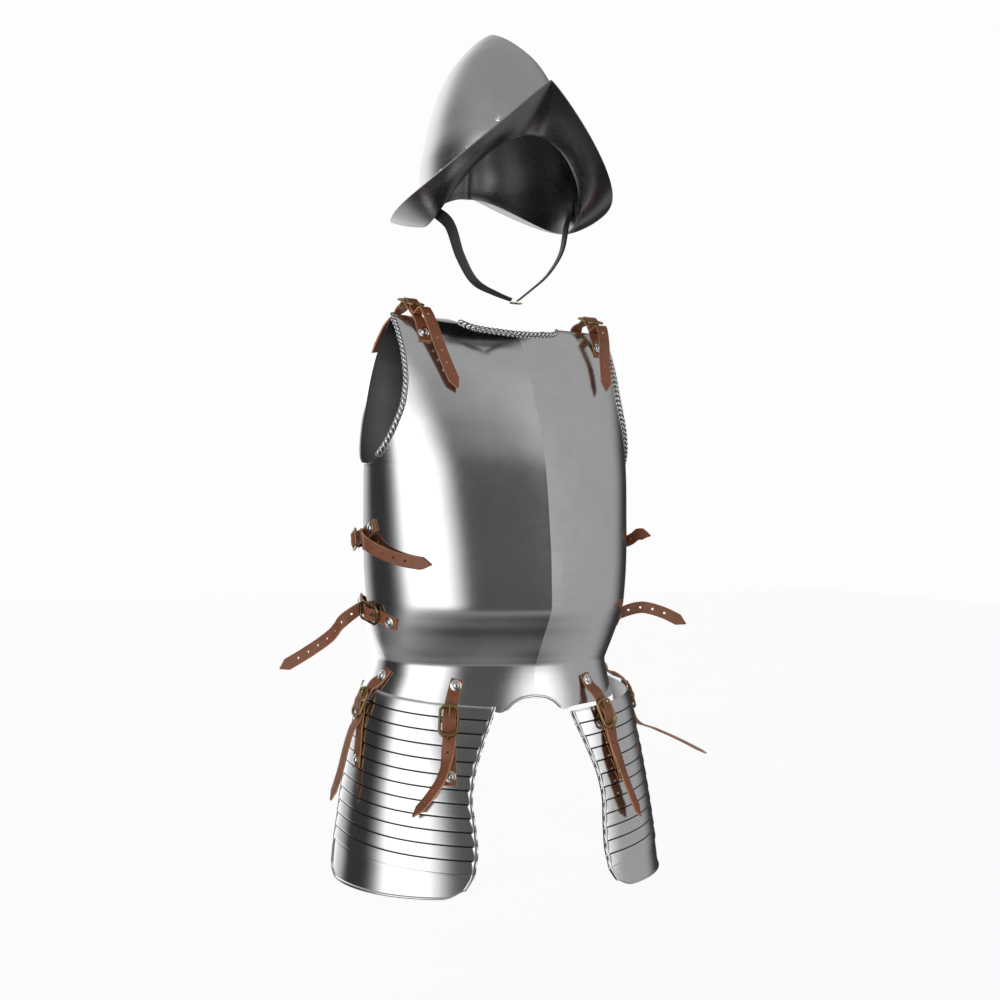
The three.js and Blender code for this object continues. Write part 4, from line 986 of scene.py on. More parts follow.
def rope_body(edge, outward, normal, sizes, wall):
    """The roped border along an edge: a rounded rim cut by slanting notches, whose deepest faces are marked
    for the painted shade.
    """
    radius, pitch = sizes.rope_radius / MM, sizes.rope_pitch / MM
    gaps = np.linalg.norm(np.diff(edge, axis=0), axis=1)
    lengths = np.concatenate([[0], np.cumsum(gaps)])
    at = np.linspace(0, lengths[-1], round(lengths[-1] / ROPE_STEP))

    def follow(values):
        return np.stack([np.interp(at, lengths, values[:, axis]) for axis in range(3)], -1)

    out, surface = unit(follow(outward)), unit(follow(normal))
    centre = follow(edge) + out * (radius + ROPE_SEAT) + surface * (radius - wall)
    along = unit(np.gradient(centre, axis=0))
    u = unit(out - along * np.sum(out * along, -1, keepdims=True))
    v = np.cross(along, u)
    turns = np.linspace(0, 2 * math.pi, ROPE_SIDES, endpoint=False)
    phase = math.pi * at[:, None] / pitch + turns[None] / 2 * ROPE_SLANT
    notch = np.exp(-((np.sin(phase) / ROPE_NOTCH_WIDTH) ** 2))
    fade = np.clip(np.minimum(at, lengths[-1] - at) / BORDER_END, ROPE_TIP, 1)[:, None]
    reach = (radius * fade * (1 - ROPE_NOTCH_DEPTH * notch))[..., None]
    across, upward = np.cos(turns)[None, :, None], np.sin(turns)[None, :, None]
    rings = centre[:, None] + reach * (across * u[:, None] + upward * v[:, None])
    points, faces = swept(rings)
    faces = facing_out(points, faces)
    # Faces deep in the notches are marked to take the near-black painted shade.
    notch_shade = (notch[:-1] + notch[1:]) / 2
    notch_shade = (notch_shade + np.roll(notch_shade, -1, 1)) / 2 > ROPE_SHADE_SHARE
    return points, faces, np.concatenate([notch_shade.ravel(), [False, False]]).astype(int)


ROPE_STEP = 0.55
ROPE_SEAT = 0.2
ROPE_SIDES = 16
ROPE_SLANT = 2
ROPE_NOTCH_WIDTH = 0.5
ROPE_NOTCH_DEPTH = 0.42
# How deep in a notch a face must lie to be painted dark as shade.
ROPE_SHADE_SHARE = 0.6
ROPE_TIP = 0.35
BORDER_END = 3
ARMHOLE_ROPE_FOOT = 9
ARCH_ROLL_RADIUS = 1.7
ARCH_ROLL_OUT = 0.5
ARCH_ROLL_UP = 0.6
ARCH_ROLL_TIP = 0.4
ARCH_ROLL_REACH = 42
NECK_ROPE_REACH = 73
BREAST_COLUMNS = 160
BREAST_FLANGE_ROWS = 22
BACK_COLUMNS = 96
BACK_FLANGE_ROWS = 14
BREAST_RISES = [(-395, 2.4), (UNDERARM_HEIGHT, 4), (-165, 2.2), (-40, 2.6), (SHOULDER_HEIGHT, 1.2)]
BACK_RISES = [(-395, 3), (UNDERARM_HEIGHT, 6), (-165, 2.6), (-30, 4), (SHOULDER_HEIGHT, 1.6)]


def breast_rows():
    shares = np.linspace(-1, 1, BREAST_COLUMNS + 1)
    return body_rows("breast", shares, 0, BREAST_FLANGE_ROWS, BREAST_RISES)


def add_socket(group, name, kind, direction, default=None):
    socket = group.interface.new_socket(name=name, in_out=direction, socket_type=kind)
    if default is not None:
        socket.default_value = default
    return socket


def new_group(name, inputs, outputs):
    """A shader node group with its sockets, and its input and output nodes."""
    group = bpy.data.node_groups.new(name, "ShaderNodeTree")
    for label, kind, default in inputs:
        add_socket(group, label, kind, "INPUT", default)
    for label, kind in outputs:
        add_socket(group, label, kind, "OUTPUT")
    return group, group.nodes.new("NodeGroupInput"), group.nodes.new("NodeGroupOutput")


def math_node(tree, operation, *values):
    """A Math node whose inputs are sockets or numbers; gives its output socket."""
    node = tree.nodes.new("ShaderNodeMath")
    node.operation = operation
    for k, value in enumerate(values):
        if isinstance(value, (int, float)):
            node.inputs[k].default_value = value
        else:
            tree.links.new(value, node.inputs[k])
    return node.outputs[0]


def scaled(tree, value, factor):
    return math_node(tree, "MULTIPLY", value, factor)


def noise_node(tree, vector, scale, detail=4.0, roughness=0.55):
    node = tree.nodes.new("ShaderNodeTexNoise")
    tree.links.new(vector, node.inputs["Vector"])
    node.inputs["Scale"].default_value = scale
    node.inputs["Detail"].default_value = detail
    node.inputs["Roughness"].default_value = roughness
    return node.outputs["Fac"]


def stretched(tree, vector, scale):
    node = tree.nodes.new("ShaderNodeMapping")
    node.inputs["Scale"].default_value = scale
    tree.links.new(vector, node.inputs["Vector"])
    return node.outputs["Vector"]


def metal_group():
    """Hand-polished metal: slow blotches, fine rubbed lines and small pits."""
    name = "Rubbed Metal"
    if name in bpy.data.node_groups:
        return bpy.data.node_groups[name]
    group, given, result = new_group(
        name,
        [("Blotch", "NodeSocketFloat", 0.5), ("Lines", "NodeSocketFloat", 0.5),
         ("Roughness", "NodeSocketFloat", 0.2)],
        [("Tone", "NodeSocketFloat"), ("Roughness", "NodeSocketFloat"), ("Height", "NodeSocketFloat")],
    )
    place = group.nodes.new("ShaderNodeTexCoord").outputs["Object"]
    slow = noise_node(group, place, 11, 3)
    cloud = noise_node(group, place, 47, 5, 0.62)
    level_lines = noise_node(group, stretched(group, place, (16, 16, 520)), 1.0, 3)
    cross_lines = noise_node(group, stretched(group, place, (430, 380, 14)), 1.0, 3)
    pits = noise_node(group, place, 620, 2)
    blotches = math_node(group, "SUBTRACT", math_node(group, "ADD", slow, cloud), 1.0)
    lines = math_node(group, "SUBTRACT", math_node(group, "ADD", level_lines, cross_lines), 1.0)
    weighted = math_node(group, "MULTIPLY", blotches, given.outputs["Blotch"])
    lined = math_node(group, "MULTIPLY", lines, given.outputs["Lines"])
    marked = math_node(group, "ADD", weighted, lined)
    tone = math_node(group, "ADD", 1.0, scaled(group, marked, 0.16))
    group.links.new(tone, result.inputs["Tone"])
    rough = math_node(group, "ADD", given.outputs["Roughness"], scaled(group, weighted, 0.12))
    rough = math_node(group, "ADD", rough, scaled(group, lined, 0.07))
    group.links.new(math_node(group, "MAXIMUM", rough, 0.05), result.inputs["Roughness"])
    height = math_node(group, "ADD", scaled(group, lined, 0.5), scaled(group, pits, 0.12))
    height = math_node(group, "ADD", height, scaled(group, slow, 1.4))
    group.links.new(height, result.inputs["Height"])
    return group


def leather_group():
    """Strap leather: pores, creases and slow changes of tone."""
    name = "Leather Grain"
    if name in bpy.data.node_groups:
        return bpy.data.node_groups[name]
    group, given, result = new_group(
        name,
        [("Grain", "NodeSocketFloat", 1.0)],
        [("Tone", "NodeSocketFloat"), ("Roughness", "NodeSocketFloat"), ("Height", "NodeSocketFloat")],
    )
    place = group.nodes.new("ShaderNodeTexCoord").outputs["Object"]
    pores = group.nodes.new("ShaderNodeTexVoronoi")
    pores.inputs["Scale"].default_value = 900
    group.links.new(place, pores.inputs["Vector"])
    slow = noise_node(group, place, 26, 4)
    fine = noise_node(group, place, 240, 5, 0.6)
    mixed = math_node(group, "ADD", scaled(group, slow, 1.1), scaled(group, fine, 0.7))
    tone = math_node(group, "ADD", 0.18, mixed)
    group.links.new(tone, result.inputs["Tone"])
    rough = math_node(group, "ADD", 0.34, scaled(group, fine, 0.26))
    group.links.new(rough, result.inputs["Roughness"])
    height = math_node(group, "ADD", scaled(group, pores.outputs["Distance"], 0.5), fine)
    group.links.new(math_node(group, "MULTIPLY", height, given.outputs["Grain"]), result.inputs["Height"])
    return group


COAT_ROUGHNESS = 0.3


def new_material(name, group, colour, metallic, bump, values, coat=0.0):
    """A material whose tone, roughness and height come from a surface group."""
    name = f"{name}_finish"
    if name in bpy.data.materials:
        return bpy.data.materials[name]
    material = bpy.data.materials.new(name)
    material.use_nodes = True
    tree = material.node_tree
    shader = tree.nodes["Principled BSDF"]
    surface = tree.nodes.new("ShaderNodeGroup")
    surface.node_tree = group
    for label, value in values.items():
        surface.inputs[label].default_value = value
    tint = tree.nodes.new("ShaderNodeMix")
    tint.data_type = "RGBA"
    tint.blend_type = "MULTIPLY"
    tint.inputs["Factor"].default_value = 1.0
    tint.inputs["A"].default_value = (*colour, 1)
    tree.links.new(surface.outputs["Tone"], tint.inputs["B"])
    tree.links.new(tint.outputs["Result"], shader.inputs["Base Color"])
    tree.links.new(surface.outputs["Roughness"], shader.inputs["Roughness"])
    relief = tree.nodes.new("ShaderNodeBump")
    relief.inputs["Strength"].default_value = bump[0]
    relief.inputs["Distance"].default_value = bump[1] * MM
    tree.links.new(surface.outputs["Height"], relief.inputs["Height"])
    tree.links.new(relief.outputs["Normal"], shader.inputs["Normal"])
    shader.inputs["Metallic"].default_value = metallic
    shader.inputs["Coat Weight"].default_value = coat
    shader.inputs["Coat Roughness"].default_value = COAT_ROUGHNESS
    material.diffuse_color = (*colour, 1)
    return material


def polished_steel():
    finish = bpy.context.scene.armour_finish
    values = {"Blotch": 0.6, "Lines": 0.5, "Roughness": finish.steel_roughness}
    return new_material("polished_steel", metal_group(), finish.steel_colour, 1.0, (0.12, 0.5), values)


def satin_steel():
    finish = bpy.context.scene.armour_finish
    values = {"Blotch": 0.8, "Lines": 0.8, "Roughness": finish.helmet_roughness}
    return new_material("satin_steel", metal_group(), finish.helmet_colour, 1.0, (0.14, 0.5), values)


def raw_steel():
    finish = bpy.context.scene.armour_finish
    values = {"Blotch": 1.0, "Lines": 1.0, "Roughness": 0.4}
    return new_material("raw_steel", metal_group(), finish.inside_colour, 1.0, (0.2, 0.6), values)


def brim_steel():
    finish = bpy.context.scene.armour_finish
    values = {"Blotch": 1.2, "Lines": 0.8, "Roughness": 0.26}
    return new_material("brim_steel", metal_group(), finish.brim_colour, 1.0, (0.15, 0.8), values)


def painted_shade_steel():
    """Near-black steel painted as the shade in the narrow gaps under the lames and in the notches of the
    roped borders.
    """
    values = {"Blotch": 1.0, "Lines": 0.5, "Roughness": 0.5}
    # The near-black colour is painted shade, not a finish of the steel.
    return new_material("painted_shade_steel", metal_group(), (0.05, 0.047, 0.046), 1.0, (0.2, 0.4), values)


def rivet_steel():
    values = {"Blotch": 0.5, "Lines": 0.4, "Roughness": 0.16}
    return new_material("rivet_steel", metal_group(), (0.78, 0.77, 0.75), 1.0, (0.1, 0.3), values)


def antique_brass():
    finish = bpy.context.scene.armour_finish
    values = {"Blotch": 2.2, "Lines": 0.8, "Roughness": 0.3}
    return new_material("antique_brass", metal_group(), finish.brass_colour, 1.0, (0.3, 0.6), values)


def brown_leather():
    colour = bpy.context.scene.armour_finish.leather_colour
    return new_material("brown_leather", leather_group(), colour, 0.0, (0.35, 0.25), {"Grain": 1.0}, 0.12)


def cut_leather():
    colour = bpy.context.scene.armour_finish.edge_colour
    return new_material("cut_leather", leather_group(), colour, 0.0, (0.5, 0.3), {"Grain": 1.4})


def black_leather():
    colour = (0.02, 0.018, 0.018)
    return new_material("black_leather", leather_group(), colour, 0.0, (0.35, 0.25), {"Grain": 1.0}, 0.1)


def length_setting(name, description, default):
    return bpy.props.FloatProperty(name=name, description=description, default=default, unit="LENGTH")


def colour_setting(name, description, default):
    return bpy.props.FloatVectorProperty(name=name, description=description, subtype="COLOR", default=default)


def blur_setting(name, description, default):
    return bpy.props.FloatProperty(name=name, description=description, default=default, min=0.0, max=1.0)


class ArmourSizes(bpy.types.PropertyGroup):
    """Sizes of the plates, borders and straps."""

    plate_wall: length_setting("Plate wall", "Thickness of the steel plates", 0.0016)
    rope_radius: length_setting("Rope radius", "Half the width of the roped borders", 0.0031)
    rope_pitch: length_setting("Rope pitch", "Distance between the notches of the roped borders", 0.0065)
    strap_width: length_setting("Strap width", "Width of the leather straps", 0.0155)
    strap_thickness: length_setting("Strap thickness", "Thickness of the leather straps", 0.0022)
    hole_spacing: length_setting("Hole spacing", "Distance between the straps' holes", 0.0165)
    hole_radius: length_setting("Hole radius", "Radius of the straps' holes", 0.0017)


class ArmourFinish(bpy.types.PropertyGroup):
    """Colours and polish of the metal and leather."""

    steel_colour: colour_setting("Steel", "Colour of the polished plates", (0.74, 0.74, 0.75))
    steel_roughness: blur_setting("Steel roughness", "Blur of the plates' reflections", 0.16)
    helmet_colour: colour_setting("Helmet", "Colour of the satin helmet", (0.56, 0.56, 0.57))
    helmet_roughness: blur_setting("Helmet roughness", "Blur of the helmet's reflections", 0.3)
    inside_colour: colour_setting("Inside", "Colour of the plates' rough inside", (0.36, 0.36, 0.37))
    brim_colour: colour_setting("Brim underside", "Colour of the brim's dark underside", (0.3, 0.29, 0.295))
    leather_colour: colour_setting("Leather", "Colour of the brown straps", (0.2, 0.062, 0.025))
    edge_colour: colour_setting("Leather edge", "Colour of the straps' cut edges", (0.4, 0.19, 0.085))
    brass_colour: colour_setting("Brass", "Colour of the antique brass buckles", (0.3, 0.21, 0.09))


class ArmourStage(bpy.types.PropertyGroup):
    """The studio round the armour."""

    floor_drop: length_setting("Floor drop", "How far the floor lies below the shoulders", 1.45)
    camera_distance: length_setting("Camera distance", "From the camera to where it aims", 1.8)
    lens: bpy.props.FloatProperty(
        name="Lens", description="Focal length of the camera in millimetres", default=49.85)
    backdrop: colour_setting("Backdrop", "Colour seen behind the armour", (0.985, 0.985, 0.985))


class ARMOUR_OT_breastplate(bpy.types.Operator):
    """Add the breastplate with its middle ridge, waist and flange"""

    bl_idname = "armour.breastplate"
    bl_label = "Breastplate"

    def execute(self, context):
        rows = breast_rows()
        points, faces, marks = shell(rows, context.scene.armour_sizes.plate_wall / MM)
        middle = BREAST_COLUMNS // 2
        crease = np.arange(rows.shape[0]) * rows.shape[1] + middle
        materials = [polished_steel(), raw_steel()]
        marks = np.where(marks == 2, 0, marks)
        add_piece("breastplate_plate", points, faces, materials, ["breastplate"],
                  marks, crease)
        return {"FINISHED"}


class ARMOUR_OT_backplate(bpy.types.Operator):
    """Add the backplate with its waist and flange"""

    bl_idname = "armour.backplate"
    bl_label = "Backplate"

    def execute(self, context):
        wall = context.scene.armour_sizes.plate_wall / MM
        shares = np.linspace(-1, 1, BACK_COLUMNS + 1)
        rows = body_rows("back", shares, -wall - SIDE_LAP_GAP, BACK_FLANGE_ROWS, BACK_RISES)
        points, faces, marks = shell(rows, wall)
        marks = np.where(marks == 2, 0, marks)
        add_piece("backplate_plate", points, faces, [polished_steel(), raw_steel()],
                  ["backplate"], marks)
        return {"FINISHED"}


class ARMOUR_OT_borders(bpy.types.Operator):
    """Add the roped borders of the neck and armholes and the roll of the arch"""

    bl_idname = "armour.borders"
    bl_label = "Roped borders"

    def execute(self, context):
        sizes = context.scene.armour_sizes
        wall = sizes.plate_wall / MM
        rows = breast_rows()
        normals = sheet_normals(rows)
        # The second finish paints the rope's notches near black as shade.
        steel = [polished_steel(), painted_shade_steel()]
        arm = rows[:, 0, 2] > UNDERARM_HEIGHT + ARMHOLE_ROPE_FOOT
        neck = np.abs(rows[-1, :, 0]) < NECK_ROPE_REACH
        for name, keep, edge, inner in (
            ("armhole_rope_right", arm, np.s_[:, 0], np.s_[:, 3]),
            ("armhole_rope_left", arm, np.s_[:, -1], np.s_[:, -4]),
            ("neck_rope", neck, np.s_[-1], np.s_[-4]),
        ):
            points, normal = rows[edge][keep], normals[edge][keep]
            outward = points - rows[inner][keep]
            outward = unit(outward - normal * np.sum(outward * normal, -1, keepdims=True))
            points, faces, marks = rope_body(points, outward, normal, sizes, wall)
            add_piece(f"{name}_border", points, faces, steel, [name], marks)
        keep = np.abs(rows[0, :, 0]) < ARCH_ROLL_REACH
        edge, normal = rows[0, keep], normals[0, keep]
        upward = unit(rows[2, keep] - edge)
        centres = edge + ARCH_ROLL_RADIUS * (normal * ARCH_ROLL_OUT + upward * ARCH_ROLL_UP)
        left = ARCH_ROLL_REACH - np.abs(edge[:, 0])
        radii = ARCH_ROLL_RADIUS * np.clip(left / BORDER_END, ARCH_ROLL_TIP, 1)
        points, faces = tube(centres, radii, (0, -1, 0))
        add_piece("arch_roll_border", points, facing_out(points, faces), steel[:1],
                  ["arch_roll"])
        return {"FINISHED"}


LAME_POINTS = (0, 0.05, 0.09, 0.3, 0.55, 0.8, 0.93, 0.97)
LAME_RISES = (-1, -1, 0.3, 0.55, 0.75, 0.93, 1.0, 0.9)
TASSET_MIDDLE_COLUMNS = 44
TASSET_RIM_SHARE = TASSET_RIM_WIDTH / 200
TASSET_RIM_LEAST = 0.4
HEM_RIM_SHARE = 0.09
HEM_FALLS = [*np.linspace(0, 0.9, 16), *np.linspace(0.915, 1, 9)]
RIM_STEPS = 7


def tasset_shares():
    """Columns across a tasset, close together over the rolled rims."""
    rim = TASSET_RIM_SHARE
    edge = np.linspace(0, rim, RIM_STEPS)
    middle = np.linspace(rim * 1.15, 1 - rim * 1.15, TASSET_MIDDLE_COLUMNS)
    return np.concatenate([edge, middle, 1 - edge[::-1]])


def slanted(height, share):
    """A lame's height at a share of its width: the lames fall towards the inner edge."""
    return height + LAME_SLANT * (2 * share - 1)


def shaded_lame_gaps(row_count):
    """The outer faces in the gap under each lame, for rows that run upward, that are painted near black as
    shade.
    """
    points = len(LAME_POINTS)
    above = np.arange(row_count - 1)[::-1]
    in_gap = (above % points == points - 1) | ((above % points == 0) & (above > 0))
    in_gap &= above < LAME_COUNT * points
    shares, rim = tasset_shares(), TASSET_RIM_SHARE
    between = (shares[:-1] > rim * 0.9) & (shares[1:] < 1 - rim * 0.9)
    return (in_gap[:, None] & between[None]).ravel()


def hem_side(top, fall):
    """The height of the hem band's side edge, down from the lames' last line."""
    straight = top - TASSET_HEM - TASSET_CORNER
    return top - straight * min(1, 2 * fall) - math.sin(fall * math.pi / 4) * TASSET_CORNER


def rim_rise(share_of_rim):
    """The height of a half-round rim at a share of its width."""
    inward = np.clip(share_of_rim, 0, 1)
    return np.sqrt(np.maximum(0, 1 - (2 * inward - 1) ** 2))


def tasset_rows():
    """A tasset's rows of points on the wearer's left, with the rise of each point."""
    shares = tasset_shares()
    edge = np.minimum(shares, 1 - shares)
    side_rim = np.where(edge <= TASSET_RIM_SHARE, rim_rise(edge / TASSET_RIM_SHARE), 0) * TASSET_RIM_RISE
    rows, rises = [], []
    for k in range(LAME_COUNT):
        for down, rise in zip(LAME_POINTS, LAME_RISES):
            height = TASSET_TOP - (k + down) * LAME_PITCH
            inner, rear = tasset_edges(slanted(height, 0))[0], tasset_edges(slanted(height, 1))[1]
            rows.append(body_point(blend(inner, rear, shares), slanted(height, shares), tasset_stand_off()))
            lame = LAME_STEP * rise if rise > 0 else LAME_GROOVE * rise
            if k == 0 and down < 0.2:
                lame = max(lame, 0)
            rises.append(np.where(side_rim > 0, np.maximum(side_rim, TASSET_RIM_LEAST), lame))
    band = TASSET_TOP - LAME_COUNT * LAME_PITCH
    corner_turn = TASSET_CORNER / read(BODY, "half_width", TASSET_HEM)
    for fall in HEM_FALLS:
        angle = fall * math.pi / 4
        sides = [hem_side(slanted(band, side), fall) for side in (0, 1)]
        inner, rear = tasset_edges(sides[0])[0], tasset_edges(sides[1])[1]
        inset = (1 - math.cos(angle)) * corner_turn
        cut = 1 - math.cos(math.pi / 4)
        along = cut + edge * ((rear - inner) / corner_turn - 2 * cut)
        bottom = TASSET_HEM + TASSET_CORNER * (1 - np.sqrt(1 - np.maximum(0, 1 - along) ** 2))
        pull = np.maximum(0, 1 - 6 * edge) ** 3
        side_height = np.where(shares < 0.5, *sides)
        height = blend(blend(slanted(band, shares), bottom, fall), side_height, pull)
        rows.append(body_point(blend(inner + inset, rear - inset, shares), height, tasset_stand_off()))
        hem = -LAME_GROOVE * (fall == 0)
        if fall > 1 - HEM_RIM_SHARE:
            hem = TASSET_RIM_RISE * rim_rise((1 - fall) / HEM_RIM_SHARE)
        rim = np.maximum(np.maximum(side_rim, TASSET_RIM_LEAST), hem)
        rises.append(np.where(side_rim > 0, rim, hem))
    return np.array(rows)[::-1], np.array(rises)[::-1]


class ARMOUR_OT_tassets(bpy.types.Operator):
    """Add the two tassets with their embossed lames and rolled rims"""

    bl_idname = "armour.tassets"
    bl_label = "Tassets"

    def execute(self, context):
        wall = context.scene.armour_sizes.plate_wall / MM
        for name, tasset in TASSETS.items():
            rows, rises = tasset_rows()
            if tasset["side"] < 0:
                rows, rises = (rows * np.array([-1, 1, 1]))[:, ::-1], rises[:, ::-1]
            points, faces, marks = shell(rows, wall, rises)
            marks = np.where(marks == 2, 0, marks)
            gaps = shaded_lame_gaps(len(rows))
            # The gap under each lame's edge is painted near black as shade.
            marks[:len(gaps)][gaps] = 2
            add_piece(f"{name}_plate", place_tasset(points, tasset), faces,
                      [polished_steel(), raw_steel(), painted_shade_steel()], [name], marks)
        return {"FINISHED"}


def skull_point(turn, height):
    """Points on the helmet's skull at a height above its side base."""
    share = read(SKULL, "share", height)
    x = SKULL_HALF_WIDTH * share * np.sin(turn)
    keel = SKULL_KEEL * share * np.exp(-(x ** 2) / SKULL_KEEL_WIDTH ** 2)
    y = -(SKULL_HALF_LENGTH * share + keel) * np.cos(turn)
    return np.stack([x, y, np.broadcast_to(height, x.shape)], -1)


def skull_base(turn):
    return SKULL_BASE_RISE * np.cos(turn) ** 2


def brim_edge(turn):
    """Points on the brim's edge: pointed at both ends, rising to a peak there."""
    across, forward = np.sin(turn), np.cos(turn)
    x = BRIM_HALF_WIDTH * np.sign(across) * np.abs(across) ** (2 / BRIM_TIP_POWER)
    y = -BRIM_HALF_LENGTH * np.sign(forward) * np.abs(forward) ** (2 / BRIM_SIDE_POWER)
    return np.stack([x, y, BRIM_SIDE_HEIGHT + BRIM_PEAK_RISE * np.abs(forward) ** BRIM_RISE_POWER], -1)


HELMET_COLUMNS = 144
BRIM_RIM_START = 0.965
BRIM_SHARES = (0.95, 0.04)
BRIM_STEPS = 26
SKULL_STEPS = 64
SKULL_LAST_SHARE = 0.985
SKULL_ROW_POWER = 1.15
HELMET_RIVET_SINK = 0.15


def helmet_frame():
    turn = rotation("Z", HELMET_YAW) @ rotation("Y", HELMET_ROLL) @ rotation("X", HELMET_PITCH)
    return turn, np.array(HELMET_POSITION, float)


def place_helmet(points):
    turn, shift = helmet_frame()
    return np.asarray(points) @ turn.T + shift


class ARMOUR_OT_helmet(bpy.types.Operator):
    """Add the helmet: skull, wide brim, rolled rim and lining rivets"""

    bl_idname = "armour.helmet"
    bl_label = "Helmet"

    def execute(self, context):
        turns = 2 * math.pi * np.arange(HELMET_COLUMNS) / HELMET_COLUMNS
        base, rim = skull_point(turns, skull_base(turns)), brim_edge(turns)
        reach = np.linalg.norm(rim - base, axis=-1)
        rim_shares = np.linspace(1, BRIM_RIM_START, RIM_STEPS)
        rows, rises = [], []
        for share in np.concatenate([rim_shares, np.linspace(*BRIM_SHARES, BRIM_STEPS)]):
            row = blend(base, rim, share)
            row[:, 2] -= BRIM_HOLLOW * math.sin(math.pi * share) * reach * 0.01
            rows.append(row)
            in_rim = share >= BRIM_RIM_START
            rises.append(BRIM_RIM_RISE * rim_rise((1 - share) / (1 - BRIM_RIM_START)) if in_rim else 0.0)
        for step in range(SKULL_STEPS):
            share = SKULL_LAST_SHARE * math.sin(step / SKULL_STEPS * math.pi / 2) ** SKULL_ROW_POWER
            rows.append(skull_point(turns, blend(skull_base(turns), SKULL_HEIGHT, share)))
            rises.append(0.0)
        relief = np.array(rises)[:, None] * np.ones(HELMET_COLUMNS)
        apex = np.array([0.0, 0, SKULL_HEIGHT])
        wall = context.scene.armour_sizes.plate_wall / MM
        points, faces, marks = shell(np.array(rows), wall, relief, True, apex)
        brim_rows = np.arange(len(rim_shares) + BRIM_STEPS)
        layer = len(rows) * HELMET_COLUMNS
        crease = np.concatenate([
            side * layer + brim_rows * HELMET_COLUMNS + column
            for side in (0, 1) for column in (0, HELMET_COLUMNS // 2)
        ])
        marks = np.where(marks == 2, 1, marks)
        add_piece("helmet_shell", place_helmet(points), faces, [satin_steel(), brim_steel()],
                  ["helmet"], marks, crease)
        bodies = []
        for k in range(1, HELMET_RIVETS):
            if k != HELMET_RIVETS // 2:
                bodies.append(self.rivet(2 * math.pi * k / HELMET_RIVETS))
        points, faces, marks = merge_bodies(bodies)
        add_piece("helmet_rivets", place_helmet(points), faces, [rivet_steel()],
                  ["helmet"], marks)
        return {"FINISHED"}

    def rivet(self, turn):
        """A rivet on the line that holds the lining band."""
        height = HELMET_RIVET_LEVEL + HELMET_RIVET_RISE * abs(math.cos(turn)) ** HELMET_RIVET_POWER
        point = skull_point(np.array(turn), height)
        around = skull_point(np.array(turn + 0.02), height) - point
        outward = unit(np.cross(around, skull_point(np.array(turn), height + 2) - point))
        side = unit(np.cross(outward, np.array([0.0, 0, 1])))
        frame_of_rivet = (point, np.cross(outward, side), outward, side)
        points, faces = rivet_body(HELMET_RIVET_SCALE)
        return seat(points, frame_of_rivet, -HELMET_RIVET_SINK), faces, 0


CHIN_STRAP_STATIONS = 24
CHIN_STRAP_INSIDE = 14


class ARMOUR_OT_chin_straps(bpy.types.Operator):
    """Add the chin straps and their small buckle"""

    bl_idname = "armour.chin_straps"
    bl_label = "Chin straps"

    def execute(self, context):
        for name, strap in CHIN_STRAPS.items():
            inside = []
            for height in (CHIN_STRAP_TOP + CHIN_STRAP_INSIDE, CHIN_STRAP_TOP):
                point = skull_point(np.array(math.radians(strap["turn"])), height)
                point[0] *= 1 - CHIN_STRAP_DEPTH / abs(point[0])
                inside.append(place_helmet(point))
            path = Path([*inside, *strap["route"]])
            shares = np.linspace(0, 1, CHIN_STRAP_STATIONS)
            top, below = np.array(strap["top"]), np.array(strap["below"])
            stations = [
                (path.at(share * path.length), blend(top, below, min(1, share / CHIN_STRAP_TURN)))
                for share in shares
            ]
            points, faces, marks, _path = ribbon(
                stations, CHIN_STRAP_WIDTH, CHIN_STRAP_THICKNESS, CHIN_STRAP_END_WIDTH)
            add_piece(f"{name}_leather", points, faces, [black_leather()], [name], marks * 0)
        points, faces, marks = merge_bodies(buckle_bodies())
        points = points[:, [1, 0, 2]] * np.array([1, -1, 1]) * CHIN_BUCKLE_SCALE + np.array(CHIN_BUCKLE_PLACE)
        add_piece("chin_buckle_frame", points, faces, [antique_brass()],
                  ["chin_buckle"], marks)
        return {"FINISHED"}


class ARMOUR_OT_straps(bpy.types.Operator):
    """Add the leather straps with their holes, buckles and rivets"""

    bl_idname = "armour.straps"
    bl_label = "Straps, buckles and rivets"

    def execute(self, context):
        for name, strap in STRAPS.items():
            self.add_strap(name, strap, context.scene.armour_sizes)
        return {"FINISHED"}

    def add_strap(self, name, strap, sizes):
        base = StrapBase(strap)
        width, thickness = sizes.strap_width / MM, sizes.strap_thickness / MM
        rest = strap_rest(sizes)
        leather = [brown_leather(), cut_leather()]
        rivets = [base.distance_to(index) for index in strap["rivets"]]
        threaded = [station(base, along, lift) for along, lift in threading(sizes)]
        billet = resting(base, base.start, THREADING_START - STRAP_STEP / 2, rivets[0], rest)
        billet += threaded + tail(threaded, strap)
        points, faces, marks, path = ribbon(billet, width, thickness, tip=True)
        replaced = [f"{name}_billet"]
        fused = strap["base"] is SHOULDER_BASE
        piece = add_piece(f"{name}_billet_leather", points, faces, leather, replaced, marks)
        acrosses = np.array([across for _point, across in billet])
        punch_holes(piece, strap_hole_places(path, base, sizes), path, acrosses, sizes)
        ends = [station(base, along, lift) for along, lift in (*BAR_HOLD, (BUCKLE_STRAP_REST, rest))]
        ends += resting(base, BUCKLE_STRAP_RESTING, base.end, rivets[1], rest)
        points, faces, marks, _path = ribbon(ends, width, thickness)
        add_piece(f"{name}_buckle_strap_leather", points, faces, leather,
                  [f"{name}_buckle_strap"], marks)
        for distance, label in zip(rivets, ("billet", "buckle_strap")):
            points, faces = rivet_body()
            points = seat(points, base.chord(distance, RIVET_SEAT_REACH), rest + thickness / 2)
            node = f"{name}_{label}" if fused and label == "billet" else f"{name}_{label}_rivet"
            add_piece(f"{name}_{label}_stud", points, faces, [rivet_steel()], [node])
        _point, along, up, sideways = base.chord(0, BUCKLE_LENGTH / 2)
        buckle_frame = (base.frame(0)[0], along, up, sideways)
        points, faces, marks = merge_bodies(buckle_bodies())
        points = seat(points, buckle_frame, BUCKLE_LIFT, BUCKLE_SLOPE)
        add_piece(f"{name}_buckle_frame", points, faces, [antique_brass()],
                  [f"{name}_buckle"], marks)


